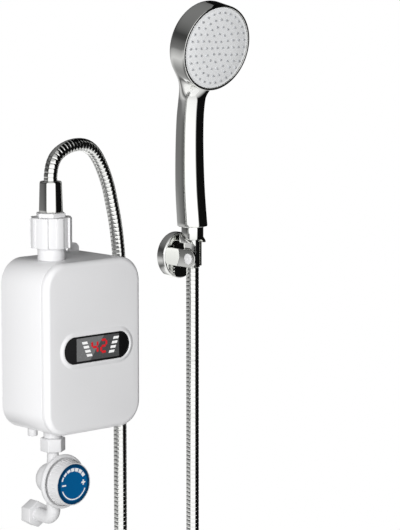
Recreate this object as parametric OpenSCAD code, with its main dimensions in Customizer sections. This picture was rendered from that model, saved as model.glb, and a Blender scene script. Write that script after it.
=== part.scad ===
// Wall-hung instant water heater with its flow valve, shower hose, hand shower and shower bracket.
// Millimetres. X runs right, Y runs into the wall, Z runs up.
// The origin is the centre of the heater's back face, so the wall is the plane Y = 0.
// A depth is a distance out from the wall, so a depth of 20 lies at Y = -20.

/* [Heater casing] */
// Width of the casing
body_w = 122; // [110:1:134]
// Height of the casing
body_h = 172; // [155:1:189]
// Depth of the casing, front to wall
body_d = 72; // [65:0.5:79]
// Corner radius of the casing, seen from the front
body_r = 25; // [20:0.5:28]
// Rounding of the front edge
edge_r = 5.5; // [3:0.5:6]
// Wall of the casing
wall = 2.5; // [2:0.1:3]
// Depth of the front cover
cover_d = 9; // [8:0.5:10]
// Thickness of the front cover's face
face_t = 3; // [2.6:0.1:3.4]
// Running clearance between a cover lip and its shell
lip_gap = 0.25; // [0.2:0.05:0.4]

/* [Display] */
// Space between the display lens and the casing's sides
display_in = 18.75; // [17:0.25:22]
// Height of the display lens
display_h = 27; // [24:0.5:30]
// Sideways place of the display
display_x = 2.6; // [0:0.2:6]
// Height of the display above the casing's centre
display_z = -1.6; // [-8:0.2:8]
// Width of the raised rim round the lens
bezel_w = 5; // [3.6:0.2:6]
// Height of the raised rim above the cover's face
bezel_h = 1.5; // [1.2:0.1:2]
// Depth of the lens below the rim's crest
lens_sunk = 1; // [0.6:0.1:1.2]
// Thickness of the lens
lens_t = 1.2; // [1:0.1:1.4]

/* [Water way] */
// Distance of the inlet and the outlet from the casing's side
pipe_in = 34; // [32:0.5:36]
// Depth of the inlet and the outlet in front of the casing's middle
pipe_off = 2; // [0:0.5:3]
// Space between the heating tank and the display's board
tank_gap = 2.1; // [2:0.1:4]
// Space between the heating tank and the casing's top and bottom
tank_room = 28.5; // [28:0.5:34]
// Radius of the water bore
bore_r = 4.5; // [3.5:0.1:5]
// Radius of the outlet collar
collar_r = 13.6; // [13:0.1:15]
// Height of the outlet collar
collar_h = 12.5; // [9:0.5:16]
// Height of the outlet coupling nut
coupling_h = 30; // [28:0.5:34]
// Radius over the lobes of the coupling nut
coupling_r = 21; // [19.5:0.5:23]
// Height of the adapter's hexagon
adapter_h = 4.5; // [4:0.5:6]

/* [Flow valve] */
// Height of the valve's axis below the casing
valve_drop = 50; // [49:0.5:56]
// Height of the supply elbow below the valve's axis
elbow_drop = 40.5; // [38:0.5:45]
// Bend radius of the supply elbow
elbow_r = 10; // [9:0.5:12]
// Radius of the valve's body
valve_r = 15.5; // [14.5:0.5:17]
// Radius of the bonnet behind the knob
bonnet_r = 27.5; // [25:0.5:29]
// Depth of the knob and its dial in front of the valve's body
knob_l = 20.5; // [18:0.5:24]
// Radius of the dial
dial_r = 20.3; // [19:0.1:22]
// Number of grip flutes round the knob
knob_flutes = 36; // [24:1:48]

/* [Hose] */
// Outer radius of the hose over its ribs
hose_r = 6.7; // [6.3:0.1:6.7]
// Radius of the hose in its grooves
groove_r = 6; // [5.6:0.1:6.2]
// Radius of the hose's bore
hose_bore_r = 4; // [3.5:0.1:4.5]
// Pitch of the ribs
rib_pitch = 7.6; // [7.6:0.2:15]

/* [Shower bracket] */
// Distance of the bracket's middle from the casing's side
bracket_gap = 110; // [100:1:125]
// Height of the bracket's centre
bracket_z = 69.7; // [60:0.1:80]
// Radius of the base
base_r = 24.5; // [23:0.5:26]
// Depth of the base
base_p = 10.5; // [9:0.5:11]
// Depth of the hand shower's axis
hang_p = 28.5; // [27:0.5:30]
// Depth of the cradle's pivot in front of the hand shower's axis
pivot_off = 9; // [6:0.5:10]
// Height of the bracket's arm
arm_h = 18.5; // [16:0.5:20]
// Thickness of the bracket's arm
arm_t = 3.5; // [3:0.5:5]
// Radius of the pivot screw
pivot_r = 3; // [2.5:0.1:3.2]
// Distance between the bracket's wall screws
screw_pitch = 26; // [22:1:28]

/* [Hand shower] */
// Height of the handle's foot above the bracket's centre
foot_up = 32.8; // [32.8:0.1:36]
// Radius of the shower head
head_r = 45; // [42:0.5:50]
// Depth of the head's rim, front to back
rim_d = 21; // [18:0.5:24]
// Reach of the spray face in front of the handle
face_out = 38; // [36:0.5:41]
// Height of the spray face above the handle's foot
face_up = 187; // [184:0.5:190]
// Downward tilt of the spray face
face_tilt = 12; // [8:0.5:16]
// Rings of spray nozzles round the middle one
nozzle_rings = 5; // [3:1:5]

/* [Hidden] */
$fn = 96;
eps = 0.02;

// Fits
fit = 0.3;
run_fit = 0.1;

// Casing
top_z = body_h / 2;
bottom_z = -body_h / 2;
shell_d = body_d - cover_d;
pipe_x = pipe_in - body_w / 2;
pipe_p = body_d / 2 + pipe_off;
drop_x = body_w / 2 + 11;
bracket_x = body_w / 2 + bracket_gap;
back_t = 3;
lip_t = 1.75;
lip_l = 3.5;
gasket_t = 1.5;
gasket_w = 1.9;
ledge_w = 2;
ledge_t = 2;
boss_in = 14;
boss_r = 5;
boss_split = 40;
screw_r = 1.45;
screw_head_r = 3.2;
screw_head_t = 2.6;
screw_seat = 6;
screw_l = 20;
boss_x = body_w / 2 - boss_in;
boss_z = body_h / 2 - boss_in;
ear_w = 30;
ear_h = 8.5;
ear_r = 6;
ear_t = 3;
ear_x = 23;
ear_hole_r = 2.3;
ear_hole_z = top_z + 3;
cover_wall = wall + lip_gap + lip_t;

// Display
crest_w = 1.8;
lens_front = body_d + bezel_h - lens_sunk;
lens_back = lens_front - lens_t;
display_w = body_w - 2 * display_in;
window_w = display_w - 34.5;
window_h = 21;
module_w = window_w - 4;
module_h = 18;
module_t = 5;
board_t = 1.6;
board_w = display_w - 4.5;
board_h = 28;
peg_x = board_w / 2 - 5;
peg_z = 10.5;
peg_r = 2.5;
board_p = body_d - face_t - module_t - board_t - fit;

// Tank
tank_wall = 1.5;
tank_r = board_p - pipe_p - tank_gap;
tank_h = body_h - 2 * tank_room;
tank_top = tank_h / 2;
tank_bottom = -tank_h / 2;
tank_gasket_t = 1;
cap_t = 4;
cap_lip = 3;
cap_bottom = tank_bottom - tank_gasket_t - cap_t;
neck_r = 8;
element_r = 3.8;
element_x = 12;
element_tail = 4.5;
pin_r = 1.5;
pin_l = 6;
cutout_r = (tank_r - neck_r - 1.4) / 2;
cutout_h = 7;
cutout_x = tank_r - cutout_r - 0.3;

// Outlet, from the casing's top upwards
coupling_z = top_z + collar_h;
adapter_z = coupling_z + coupling_h;
hose_nut_z = adapter_z + adapter_h;
hose_nut_h = 31;
hose_nut_r0 = 11.9;
hose_nut_r1 = 10.8;
spout_r = 12.4;
spout_h = 13.5;
spout_tail_r = 10.2;
spout_tail = 9;
locknut_h = 4.5;
outlet_nut_r = spout_tail_r + 5;
outlet_pad_t = 1.2;
washer_t = 2;
tail_shoulder = 6.5;
tail_neck_r = 10.4;
tail_thread_r = 7.2;
lobes = 6;
lobe_w = 14.5;
lobe_root_r = coupling_r - 3;
adapter_r = 15.5;
half_inch_r = 9.9;
half_inch_l = 16;
fitting_t = 3;
fitting_r = half_inch_r;
fitting_z = hose_nut_z + half_inch_l + washer_t;
hose_start_z = fitting_z + fitting_t;

// Inlet, from the casing's bottom downwards
inlet_r = 8.2;
inlet_collar_r = 9.3;
inlet_collar_h = 7.4;
inlet_tail = 8;
inlet_spigot = 7.6;
inlet_nut_r = inlet_r + 4;
inlet_pad_t = 0.5;
filter_t = 2;
valve_flange_t = 2;
union_floor = 2;
union_r = 12.8;
inlet_bore_r = 4.2;
inlet_union_z = bottom_z - inlet_collar_h;
filter_z = inlet_union_z - inlet_spigot - filter_t;
valve_top_z = filter_z - valve_flange_t;
switch_top = cap_bottom;
switch_bottom = bottom_z + inlet_tail;
switch_r = 7.5;
piston_r = 5.3;
piston_l = 9;
reed_w = 4;
pad_p = switch_r + 1.5;
pad_w = 8;

// Cable gland
gland_x = pipe_x - 10.5;
gland_p = pipe_p - 19;
gland_r = 5;
gland_h = 7.2;
gland_sunk = 0.9;
gland_pad_t = 2;
gland_thread_r = 4;
gland_thread = 8.5;
gland_bore_r = 3;
gland_nut_r = 6.5;
gland_nut_h = 4;

// Valve
valve_z = bottom_z - valve_drop;
elbow_z = valve_z - elbow_drop;
valve_back = pipe_p - 14;
valve_front = pipe_p + 12;
dial_p = valve_front + knob_l;
valve_dome = 8;
tail_pipe_r = 5.5;
supply_pipe_r = 7;
chamber_r = 11;
chamber_back = valve_back + 6;
bonnet_t = 6;
bonnet_hub = 16;
spindle_r = 4;
disc_t = 2.5;
knob_gap = 1;
knob_back = valve_front + bonnet_t + knob_gap;
dial_t = 1.2;
knob_front = dial_p - 0.3;
dial_seat = dial_p - dial_t;
knob_r0 = dial_r + 2.7;
knob_r1 = dial_r + 0.9;
flute_r = 1.1;
knob_wall = 2.6;
knob_web = 4.3;
hub_r = 8;
spindle_end = dial_seat - 4.8;
knob_screw_r = 1.6;
knob_screw_head_r = 3;
supply_nut_r = 13.6;
supply_back = 0.5;
supply_nut_l = 13.5;
supply_floor = 2.5;
supply_bore_r = half_inch_r + fit;
supply_flange = 2;
supply_seat = supply_back + supply_nut_l - supply_floor;
supply_seat_r = half_inch_r - 0.5;

// Bracket
pivot_p = hang_p + pivot_off;
plate_t = 4;
base_wall = 2.5;
plate_r = base_r - base_wall - fit;
plate_hole_r = 2.2;
sleeve_wall = 0.6;
sleeve_in_r = hose_r + fit;
sleeve_r = sleeve_in_r + sleeve_wall;
cradle_in = sleeve_r + fit;
cradle_wall = 2;
cradle_out = cradle_in + cradle_wall;
arm_in = cradle_out + fit;
arm_out = arm_in + arm_t;
cradle_low = bracket_z - 9.5;
cradle_front = pivot_p + 4.5;
cradle_open = 40;
cradle_cheek = 3.5;
pivot_head_r = 5.8;
pivot_head_t = 1.6;
pivot_mark_r = 1.2;

// Hand shower
foot_z = bracket_z + foot_up;
face_p = hang_p + face_out;
face_z = foot_z + face_up;
hnut_r = 11.5;
hnut_h = 14;
hnut_floor = 3.5;
hnut_z = foot_z - hnut_h;
cup_in = hnut_r + 0.4;
cup_wall = 2.1;
cup_floor = 3;
cup_lip = 6.5;
cup_slope = 58.5;
sleeve_flange_t = 2;
spigot_z = hnut_z + hnut_floor + sleeve_flange_t + washer_t;
sleeve_low = bracket_z - 10.7;
handle_bore_r = 5;
handle_bore_l = 125;
neck_bore_z = 118;
neck_bore_l = 42;
neck_bore_tilt = 26;
dome_d = 9;
plate_r_face = head_r - 2.6;
plate_seat = 4;
plate_front = 0.8;
chamber_head_r = head_r - 7;
chamber_head_d = 10;
nozzle_r = 1.1;
nozzle_h = 1.5;
nozzle_step = 7.4;

// Hose route: the middle of the hose, from the heater's nut to the hand shower's sleeve
hose_split_z = -40;
hose_top_z = hnut_z - 3.5;
hose_lead = 8;
drop_p = 26;
drop_z = 50;
loop_z = -468;
// The arch beside the heater: shares of its width and depth, and height above the hose's start
arch_w = 99;
arch_p = 12;
arch = [
    [3, 0.5, 27], [10, 1.5, 35.5], [23, 3, 41.5], [38, 4.5, 43.5], [52, 6, 41], [63, 7.5, 33.5], [73, 9, 20],
    [82, 10, 1], [88, 11, -18], [93, 11.5, -38], [96.5, 12, -58], [98.5, 12, -78]
];
// The loop at the bottom: shares of its width and depth, and height above the loop's start
loop_w = 99;
loop_p = 2.5;
loop = [
    [0.5, 0, -18], [4.5, 0, -36], [15, 0.5, -52], [32, 1, -62], [49.5, 1.5, -65.5], [67, 2, -62],
    [84, 2.5, -52], [94.5, 2.5, -36], [98.5, 2.5, -18]
];
fall = [0, -100, -200, -300, -400];
rise = [-400, -300, -200, -100];
route = concat(
    [for (k = [0 : 2]) [pipe_x, -pipe_p, hose_start_z + k * hose_lead]],
    [for (a = arch) [pipe_x + (drop_x - pipe_x) * a[0] / arch_w, -pipe_p + (pipe_p - drop_p) * a[1] / arch_p,
        hose_start_z + a[2]]],
    [[drop_x, -drop_p, drop_z]],
    [for (z = fall) [drop_x, -drop_p, z]],
    [[drop_x, -drop_p, loop_z]],
    [for (a = loop) [drop_x + (bracket_x - drop_x) * a[0] / loop_w,
        -drop_p - (hang_p - drop_p) * a[1] / loop_p, loop_z + a[2]]],
    [[bracket_x, -hang_p, loop_z]],
    [for (z = rise) [bracket_x, -hang_p, z]],
    [[bracket_x, -hang_p, hose_split_z]]
);
route_steps = 12;
hose_sides = 8;

// A smooth curve through four route points
function spline(a, b, c, d, t) =
    0.5 * (2 * b + (c - a) * t + (2 * a - 5 * b + 4 * c - d) * t * t + (3 * b - a - 3 * c + d) * t * t * t);
function clamp_at(list, i) = list[max(0, min(len(list) - 1, i))];
route_fine = [
    for (i = [0 : len(route) - 2])
        for (k = [0 : route_steps - 1])
            spline(clamp_at(route, i - 1), route[i], route[i + 1], clamp_at(route, i + 2), k / route_steps),
    route[len(route) - 1]
];
route_run = [
    for (i = 0, s = 0; i < len(route_fine);
         s = s + (i < len(route_fine) - 1 ? norm(route_fine[i + 1] - route_fine[i]) : 0), i = i + 1) s
];
main_length = route_run[len(route_run) - 1];
upper_length = hose_top_z - hose_split_z;
along_x = [for (i = [0 : len(route_fine) - 1]) [route_run[i], route_fine[i][0]]];
along_y = [for (i = [0 : len(route_fine) - 1]) [route_run[i], route_fine[i][1]]];
along_z = [for (i = [0 : len(route_fine) - 1]) [route_run[i], route_fine[i][2]]];
function on_main(s) = [lookup(s, along_x), lookup(s, along_y), lookup(s, along_z)];
function on_upper(s) = [bracket_x, -hang_p, hose_split_z + s];
echo(hose_length = main_length + upper_length);

// A ring of points round a centre c, square to the direction t
function ring(c, t, r) =
    let (d = t / norm(t), u = cross(d, [0, 1, 0]), a = u / norm(u), b = cross(d, a))
    [for (k = [0 : hose_sides - 1])
        let (g = (k + 0.5) * 360 / hose_sides) c + r * (cos(g) * a + sin(g) * b)];

// The faces between rings of points that follow one another; flip turns them inside out
function skin(first, count, flip) = [
    for (i = [0 : count - 2])
        for (k = [0 : hose_sides - 1])
            let (a = first + i * hose_sides + k,
                 b = first + i * hose_sides + (k + 1) % hose_sides,
                 c = b + hose_sides,
                 d = a + hose_sides)
            each (flip ? [[a, c, b], [a, d, c]] : [[a, b, c], [a, c, d]])
];
function cap(outer, inner, flip) = [
    for (k = [0 : hose_sides - 1])
        let (a = outer + k, b = outer + (k + 1) % hose_sides, c = inner + (k + 1) % hose_sides, d = inner + k)
        each (flip ? [[a, b, c], [a, c, d]] : [[a, c, b], [a, d, c]])
];

// Sections of the handle: height above its foot, depth from its axis, half width and half depth
handle_shape = [
    [0, 0, 15.8, 15.8], [38, -3.5, 15.4, 15.4], [78, -4.5, 14.7, 14.7], [112, -3.5, 14.2, 14.2],
    [132, -0.8, 14.3, 13.9], [146, 2, 15.2, 14.6], [152, 3.6, 18, 15.2], [159.5, 7.5, 28, 16],
    [167.5, 10.5, 37, 16], [175.5, 14, 40, 12], [182, 18, 38, 8]
];
handle = [for (h = handle_shape) [foot_z + h[0], hang_p + h[1], h[2], h[3]]];
handle_sides = 24;
handle_steps = 3;
handle_fine = [
    for (i = [0 : len(handle) - 2])
        for (k = [0 : handle_steps - 1])
            spline(clamp_at(handle, i - 1), handle[i], handle[i + 1], clamp_at(handle, i + 2),
                k / handle_steps),
    handle[len(handle) - 1]
];

// Building blocks

// An outline in X and Z, drawn out from the wall between two depths
module layer(p0, p1) {
    translate([0, -p0, 0]) rotate([90, 0, 0]) linear_extrude(p1 - p0) children();
}

// A round bar out from the wall
module bar_out(x, z, p0, p1, r0, r1) {
    translate([x, -p0, z]) rotate([90, 0, 0]) cylinder(h = p1 - p0, r1 = r0, r2 = r1);
}

// An upright round bar
module bar_up(x, p, z0, z1, r) {
    translate([x, -p, z0]) cylinder(h = z1 - z0, r = r);
}

// An upright hexagonal bar of a given radius over its corners
module hex_up(x, p, z0, z1, r, turn) {
    translate([x, -p, z0]) rotate([0, 0, turn]) cylinder(h = z1 - z0, r = r, $fn = 6);
}

// A sideways round bar
module bar_across(p, z, x0, x1, r) {
    translate([x0, -p, z]) rotate([0, 90, 0]) cylinder(h = x1 - x0, r = r);
}

module rounded(w, h, r) {
    square([w - 2 * r, h], center = true);
    square([w, h - 2 * r], center = true);
    for (sx = [-1, 1], sz = [-1, 1]) translate([sx * (w / 2 - r), sz * (h / 2 - r)]) circle(r);
}

module stadium(w, h) {
    square([w - h, h], center = true);
    for (s = [-1, 1]) translate([s * (w - h) / 2, 0]) circle(h / 2);
}

// The casing's outline, drawn in by a margin
module casing(margin) {
    rounded(body_w - 2 * margin, body_h - 2 * margin, body_r - margin);
}

// A puck with a rounded front edge, one for each corner of the cover
module puck() {
    rotate_extrude($fn = 48) polygon(concat(
        [[0, 0], [body_r, 0]],
        [for (a = [0 : 15 : 90]) [body_r - edge_r + edge_r * cos(a), cover_d - edge_r + edge_r * sin(a)]],
        [[0, cover_d]]
    ));
}

module at_bosses() {
    for (sx = [-1, 1], sz = [-1, 1]) translate([sx * boss_x, 0, sz * boss_z]) children();
}

// Heater casing

module rear_shell() {
    color("white") difference() {
        union() {
            difference() {
                layer(0, shell_d) casing(0);
                layer(back_t, shell_d + 1) casing(wall);
            }
            layer(shell_d - lip_l - gasket_t - ledge_t, shell_d - lip_l - gasket_t) difference() {
                casing(wall - eps);
                casing(wall + ledge_w);
            }
            layer(0, ear_t) ear_outline();
            at_bosses() bar_out(0, 0, eps, boss_split, boss_r, boss_r);
            for (x = [board_x0 + 4, board_x1 - 4], z = [-1, 1])
                bar_out(x, z * (power_h / 2 - 5), back_t - eps, power_p, 3, 3);
            bar_up(pipe_x, pipe_p, top_z - wall - outlet_pad_t, top_z - wall / 2, outlet_nut_r + 1);
            bar_up(pipe_x, pipe_p, bottom_z + wall / 2, bottom_z + wall + inlet_pad_t, inlet_nut_r + 1);
            bar_up(gland_x, gland_p, bottom_z + 0.75 * wall, bottom_z + wall + gland_pad_t, gland_nut_r + 1);
        }
        at_bosses() bar_out(0, 0, -1, boss_split - screw_seat, screw_head_r + 0.4, screw_head_r + 0.4);
        at_bosses() bar_out(0, 0, -1, boss_split + 1, screw_r + 0.4, screw_r + 0.4);
        bar_out(ear_x, ear_hole_z, -1, ear_t + 1, ear_hole_r, ear_hole_r);
        bar_up(pipe_x, pipe_p, top_z - wall - outlet_pad_t - 1, top_z + 1, spout_tail_r + fit);
        bar_up(pipe_x, pipe_p, bottom_z - 1, bottom_z + wall + inlet_pad_t + 1, inlet_r + fit);
        bar_up(gland_x, gland_p, bottom_z - 1, bottom_z + wall + gland_pad_t + 1, gland_thread_r + fit);
        bar_up(gland_x, gland_p, bottom_z - 1, bottom_z + gland_sunk, gland_r + run_fit);
    }
}

module ear_outline() {
    translate([ear_x - ear_w / 2, top_z - 4]) square([ear_w, 4 + ear_h - ear_r]);
    translate([ear_x - ear_w / 2 + ear_r, top_z - 4]) square([ear_w - 2 * ear_r, 4 + ear_h]);
    for (s = [-1, 1]) translate([ear_x + s * (ear_w / 2 - ear_r), top_z + ear_h - ear_r]) circle(ear_r);
}

module front_cover() {
    color("white") difference() {
        union() {
            difference() {
                hull() for (sx = [-1, 1], sz = [-1, 1])
                    translate([sx * (body_w / 2 - body_r), -shell_d, sz * (body_h / 2 - body_r)])
                        rotate([90, 0, 0]) puck();
                layer(shell_d - 1, body_d - face_t) casing(cover_wall);
            }
            layer(shell_d - lip_l, shell_d + eps) difference() {
                casing(wall + lip_gap);
                casing(cover_wall);
            }
            at_bosses() bar_out(0, 0, boss_split, body_d - face_t + eps, boss_r - 1, boss_r - 1);
            for (sx = [-1, 1], sz = [-1, 1])
                bar_out(display_x + sx * peg_x, display_z + sz * peg_z, board_p + board_t,
                    body_d - face_t + eps, peg_r, peg_r);
            translate([display_x, 0, display_z]) hull() {
                layer(body_d - 0.5, body_d)
                    stadium(display_w + 2 * bezel_w, display_h + 2 * bezel_w, $fn = 64);
                layer(body_d, body_d + bezel_h)
                    stadium(display_w + 2 * crest_w, display_h + 2 * crest_w, $fn = 64);
            }
        }
        at_bosses() bar_out(0, 0, boss_split - 1, boss_split - screw_seat + screw_l + 2,
            screw_r + 0.15, screw_r + 0.15);
        translate([display_x, 0, display_z]) {
            layer(lens_back, body_d + bezel_h + 1) stadium(display_w + fit, display_h + fit);
            layer(body_d - face_t - 1, body_d) square([window_w, window_h], center = true);
        }
    }
}

module cover_gasket() {
    color("dimgray") layer(shell_d - lip_l - gasket_t, shell_d - lip_l) difference() {
        casing(wall + lip_gap);
        casing(wall + lip_gap + gasket_w);
    }
}

module cover_screws() {
    color("silver") at_bosses() {
        bar_out(0, 0, boss_split - screw_seat - screw_head_t, boss_split - screw_seat,
            screw_head_r, screw_head_r);
        bar_out(0, 0, boss_split - screw_seat - eps, boss_split - screw_seat + screw_l, screw_r, screw_r);
    }
}

module display_lens() {
    color("black") translate([display_x, 0, display_z])
        layer(lens_back, lens_front) stadium(display_w, display_h);
}

module display_module() {
    color("dimgray") translate([display_x, 0, display_z])
        layer(board_p + board_t, board_p + board_t + module_t) square([module_w, module_h], center = true);
}

module display_board() {
    color("darkgreen") translate([display_x, 0, display_z])
        layer(board_p, board_p + board_t) square([board_w, board_h], center = true);
}

// Heating

module heating_tank() {
    color("silver") difference() {
        union() {
            bar_up(pipe_x, pipe_p, tank_bottom, tank_top, tank_r);
            bar_up(pipe_x, pipe_p, tank_bottom, tank_bottom + 3, tank_r + 2);
            bar_up(pipe_x, pipe_p, tank_top - eps, coupling_z - 3.5, neck_r);
        }
        bar_up(pipe_x, pipe_p, tank_bottom - 1, tank_top - 3, tank_r - tank_wall);
        bar_up(pipe_x, pipe_p, tank_top - 4, coupling_z, bore_r);
    }
}

module tank_gasket() {
    color("dimgray") difference() {
        bar_up(pipe_x, pipe_p, tank_bottom - tank_gasket_t, tank_bottom, tank_r + 2);
        bar_up(pipe_x, pipe_p, tank_bottom - 2 * tank_gasket_t, tank_bottom + 1, tank_r - tank_wall);
    }
}

module tank_cap() {
    color("silver") difference() {
        union() {
            bar_up(pipe_x, pipe_p, cap_bottom, cap_bottom + cap_t, tank_r + 2);
            bar_up(pipe_x, pipe_p, cap_bottom, tank_bottom + cap_lip, tank_r - tank_wall - fit);
        }
        bar_up(pipe_x, pipe_p, cap_bottom - 1, tank_bottom + cap_lip + 1, bore_r);
        for (s = [-1, 1])
            bar_up(pipe_x + s * element_x, pipe_p, cap_bottom - 1, tank_bottom + cap_lip + 1,
                element_r + fit);
    }
}

module heating_element() {
    bend_z = tank_top - 3 - element_x - element_r - 4;
    color("chocolate") {
        for (s = [-1, 1]) {
            bar_up(pipe_x + s * element_x, pipe_p, cap_bottom - element_tail, bend_z, element_r);
            bar_up(pipe_x + s * element_x, pipe_p, cap_bottom - element_tail - pin_l,
                cap_bottom - element_tail + eps, pin_r);
        }
        translate([pipe_x, -pipe_p, bend_z]) rotate([90, 0, 0])
            rotate_extrude(angle = 180) translate([element_x, 0]) circle(element_r);
    }
}

module thermal_cutout() {
    color("ivory") {
        bar_up(pipe_x + cutout_x, pipe_p, tank_top, tank_top + cutout_h, cutout_r);
        for (s = [-1, 1]) translate([pipe_x + cutout_x - 1, -pipe_p + s * 3 - 0.4, tank_top + cutout_h - eps])
            cube([4, 0.8, 6]);
    }
}

module flow_switch_body() {
    color("ivory") difference() {
        union() {
            bar_up(pipe_x, pipe_p, switch_bottom, switch_top, switch_r);
            translate([pipe_x - pad_w / 2, -pipe_p - pad_p, switch_bottom + 1])
                cube([pad_w, pad_p, switch_top - switch_bottom - 2]);
        }
        bar_up(pipe_x, pipe_p, switch_bottom - 1, switch_top + 1, piston_r + fit);
    }
}

module flow_piston() {
    color("dimgray") difference() {
        bar_up(pipe_x, pipe_p, switch_bottom, switch_bottom + piston_l, piston_r);
        for (a = [0 : 90 : 270]) translate([pipe_x, -pipe_p, switch_bottom - 1]) rotate([0, 0, a])
            translate([piston_r - 1.2, -1, 0]) cube([3, 2, piston_l + 2]);
    }
}

module reed_switch() {
    color("black") translate([pipe_x - reed_w / 2, -pipe_p - pad_p - reed_w, switch_bottom + 2])
        cube([reed_w, reed_w, switch_top - switch_bottom - 4]);
}

// Electronics

board_x0 = pipe_x + 35;
board_x1 = body_w / 2 - 7;
power_w = board_x1 - board_x0;
power_h = body_h - 52;
power_p = 10;
parts_p = power_p + board_t;
coil_w = 0.43 * power_w;
coil_h = 26;
coil_t = 15;
coil_z = power_h / 2 - 40;
relay_w = 0.52 * power_w;
relay_h = 30;
relay_t = 21;
relay_z = 14 - power_h / 2;
can_r = 6;
can_l = 18;
can_z = -12;
sink_w = 0.22 * power_w;
sink_h = 44;
sink_t = 6;
sink_z = power_h / 2 - 56;
fins = 5;
fin_t = 2.4;
fin_l = 20;
block_x0 = board_x0;
block_x1 = body_w / 2 - body_r + 2;
block_h = 14;
block_t = 13;
block_z = bottom_z + 6;
ways = 3;
way_r = 2.5;
way_l = 9;

module control_board() {
    color("darkgreen") {
        translate([board_x0, -parts_p, -power_h / 2]) cube([power_w, board_t, power_h]);
        translate([board_x0 + 0.17 * power_w, -parts_p - coil_t, coil_z])
            cube([coil_w, coil_t + eps, coil_h]);
        translate([board_x0 + 0.13 * power_w, -parts_p - relay_t, relay_z])
            cube([relay_w, relay_t + eps, relay_h]);
        bar_out(board_x1 - can_r - 2, can_z, parts_p - eps, parts_p + can_l, can_r, can_r);
        translate([board_x1 - sink_w - 2, -parts_p - sink_t, sink_z]) {
            cube([sink_w, sink_t + eps, sink_h]);
            for (k = [0 : fins - 1]) translate([0, -fin_l, 1 + k * (sink_h - fin_t - 2) / (fins - 1)])
                cube([sink_w, fin_l + eps, fin_t]);
        }
    }
}

module terminal_block() {
    way = (block_x1 - block_x0) / ways;
    color("ivory") difference() {
        translate([block_x0, -back_t - block_t, block_z]) cube([block_x1 - block_x0, block_t, block_h]);
        for (k = [0 : ways - 1]) bar_out(block_x0 + (k + 0.5) * way, block_z + block_h / 2,
            back_t + block_t + 1 - way_l, back_t + block_t + 1, way_r, way_r);
    }
}

module cable_gland() {
    color("whitesmoke") difference() {
        union() {
            bar_up(gland_x, gland_p, bottom_z - gland_h, bottom_z + gland_sunk, gland_r);
            bar_up(gland_x, gland_p, bottom_z, bottom_z + gland_thread, gland_thread_r);
        }
        bar_up(gland_x, gland_p, bottom_z - gland_h - 1, bottom_z + gland_thread + 1, gland_bore_r);
    }
}

module gland_nut() {
    low = bottom_z + wall + gland_pad_t;
    color("whitesmoke") difference() {
        hex_up(gland_x, gland_p, low, low + gland_nut_h, gland_nut_r, 0);
        bar_up(gland_x, gland_p, low - 1, low + gland_nut_h + 1, gland_thread_r + run_fit);
    }
}

// Outlet

module outlet_spout() {
    color("white") difference() {
        union() {
            bar_up(pipe_x, pipe_p, top_z, coupling_z, collar_r);
            bar_up(pipe_x, pipe_p, coupling_z - eps, coupling_z + spout_h, spout_r);
            bar_up(pipe_x, pipe_p, top_z - spout_tail, top_z + eps, spout_tail_r);
        }
        bar_up(pipe_x, pipe_p, top_z - spout_tail - 1, coupling_z - 3, neck_r + fit);
        bar_up(pipe_x, pipe_p, coupling_z - 4, coupling_z + spout_h + 1, bore_r);
    }
}

module outlet_locknut() {
    high = top_z - wall - outlet_pad_t;
    color("white") difference() {
        hex_up(pipe_x, pipe_p, high - locknut_h, high, outlet_nut_r, 0);
        bar_up(pipe_x, pipe_p, high - locknut_h - 1, high + 1, spout_tail_r + run_fit);
    }
}

module outlet_washer() {
    color("dimgray") difference() {
        bar_up(pipe_x, pipe_p, coupling_z + spout_h, coupling_z + spout_h + washer_t, spout_r);
        bar_up(pipe_x, pipe_p, coupling_z, coupling_z + spout_h + washer_t + 1, bore_r);
    }
}

module outlet_tail() {
    low = coupling_z + spout_h + washer_t;
    color("white") difference() {
        union() {
            bar_up(pipe_x, pipe_p, low, low + tail_shoulder, spout_r);
            bar_up(pipe_x, pipe_p, low, adapter_z, tail_neck_r);
        }
        bar_up(pipe_x, pipe_p, low - 1, adapter_z + 1, bore_r);
        bar_up(pipe_x, pipe_p, low + 3, adapter_z + 1, tail_thread_r + fit);
    }
}

module outlet_coupling_nut() {
    seat = coupling_z + spout_h + washer_t + tail_shoulder;
    color("white") difference() {
        union() {
            bar_up(pipe_x, pipe_p, coupling_z, adapter_z, lobe_root_r);
            for (k = [0 : lobes - 1]) intersection() {
                bar_up(pipe_x, pipe_p, coupling_z, adapter_z, coupling_r);
                translate([pipe_x, -pipe_p, coupling_z]) rotate([0, 0, k * 360 / lobes])
                    translate([lobe_root_r - 4, -lobe_w / 2, 0]) cube([coupling_r, lobe_w, coupling_h]);
            }
        }
        bar_up(pipe_x, pipe_p, coupling_z - 1, seat, spout_r + fit);
        bar_up(pipe_x, pipe_p, coupling_z - 1, adapter_z + 1, tail_neck_r + fit);
    }
}

module hose_adapter() {
    low = coupling_z + spout_h + washer_t + 4;
    color("white") difference() {
        union() {
            hex_up(pipe_x, pipe_p, adapter_z, hose_nut_z, adapter_r, 0);
            bar_up(pipe_x, pipe_p, low, adapter_z + eps, tail_thread_r);
            bar_up(pipe_x, pipe_p, hose_nut_z - eps, hose_nut_z + half_inch_l, half_inch_r);
        }
        bar_up(pipe_x, pipe_p, low - 1, hose_nut_z + half_inch_l + 1, bore_r);
    }
}

module hose_washer_heater() {
    color("dimgray") difference() {
        bar_up(pipe_x, pipe_p, fitting_z - washer_t, fitting_z, fitting_r);
        bar_up(pipe_x, pipe_p, fitting_z - washer_t - 1, fitting_z + 1, bore_r);
    }
}

module hose_fitting_heater() {
    color("goldenrod") difference() {
        bar_up(pipe_x, pipe_p, fitting_z, hose_start_z, fitting_r);
        bar_up(pipe_x, pipe_p, fitting_z - 1, hose_start_z + 1, hose_bore_r);
    }
}

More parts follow.
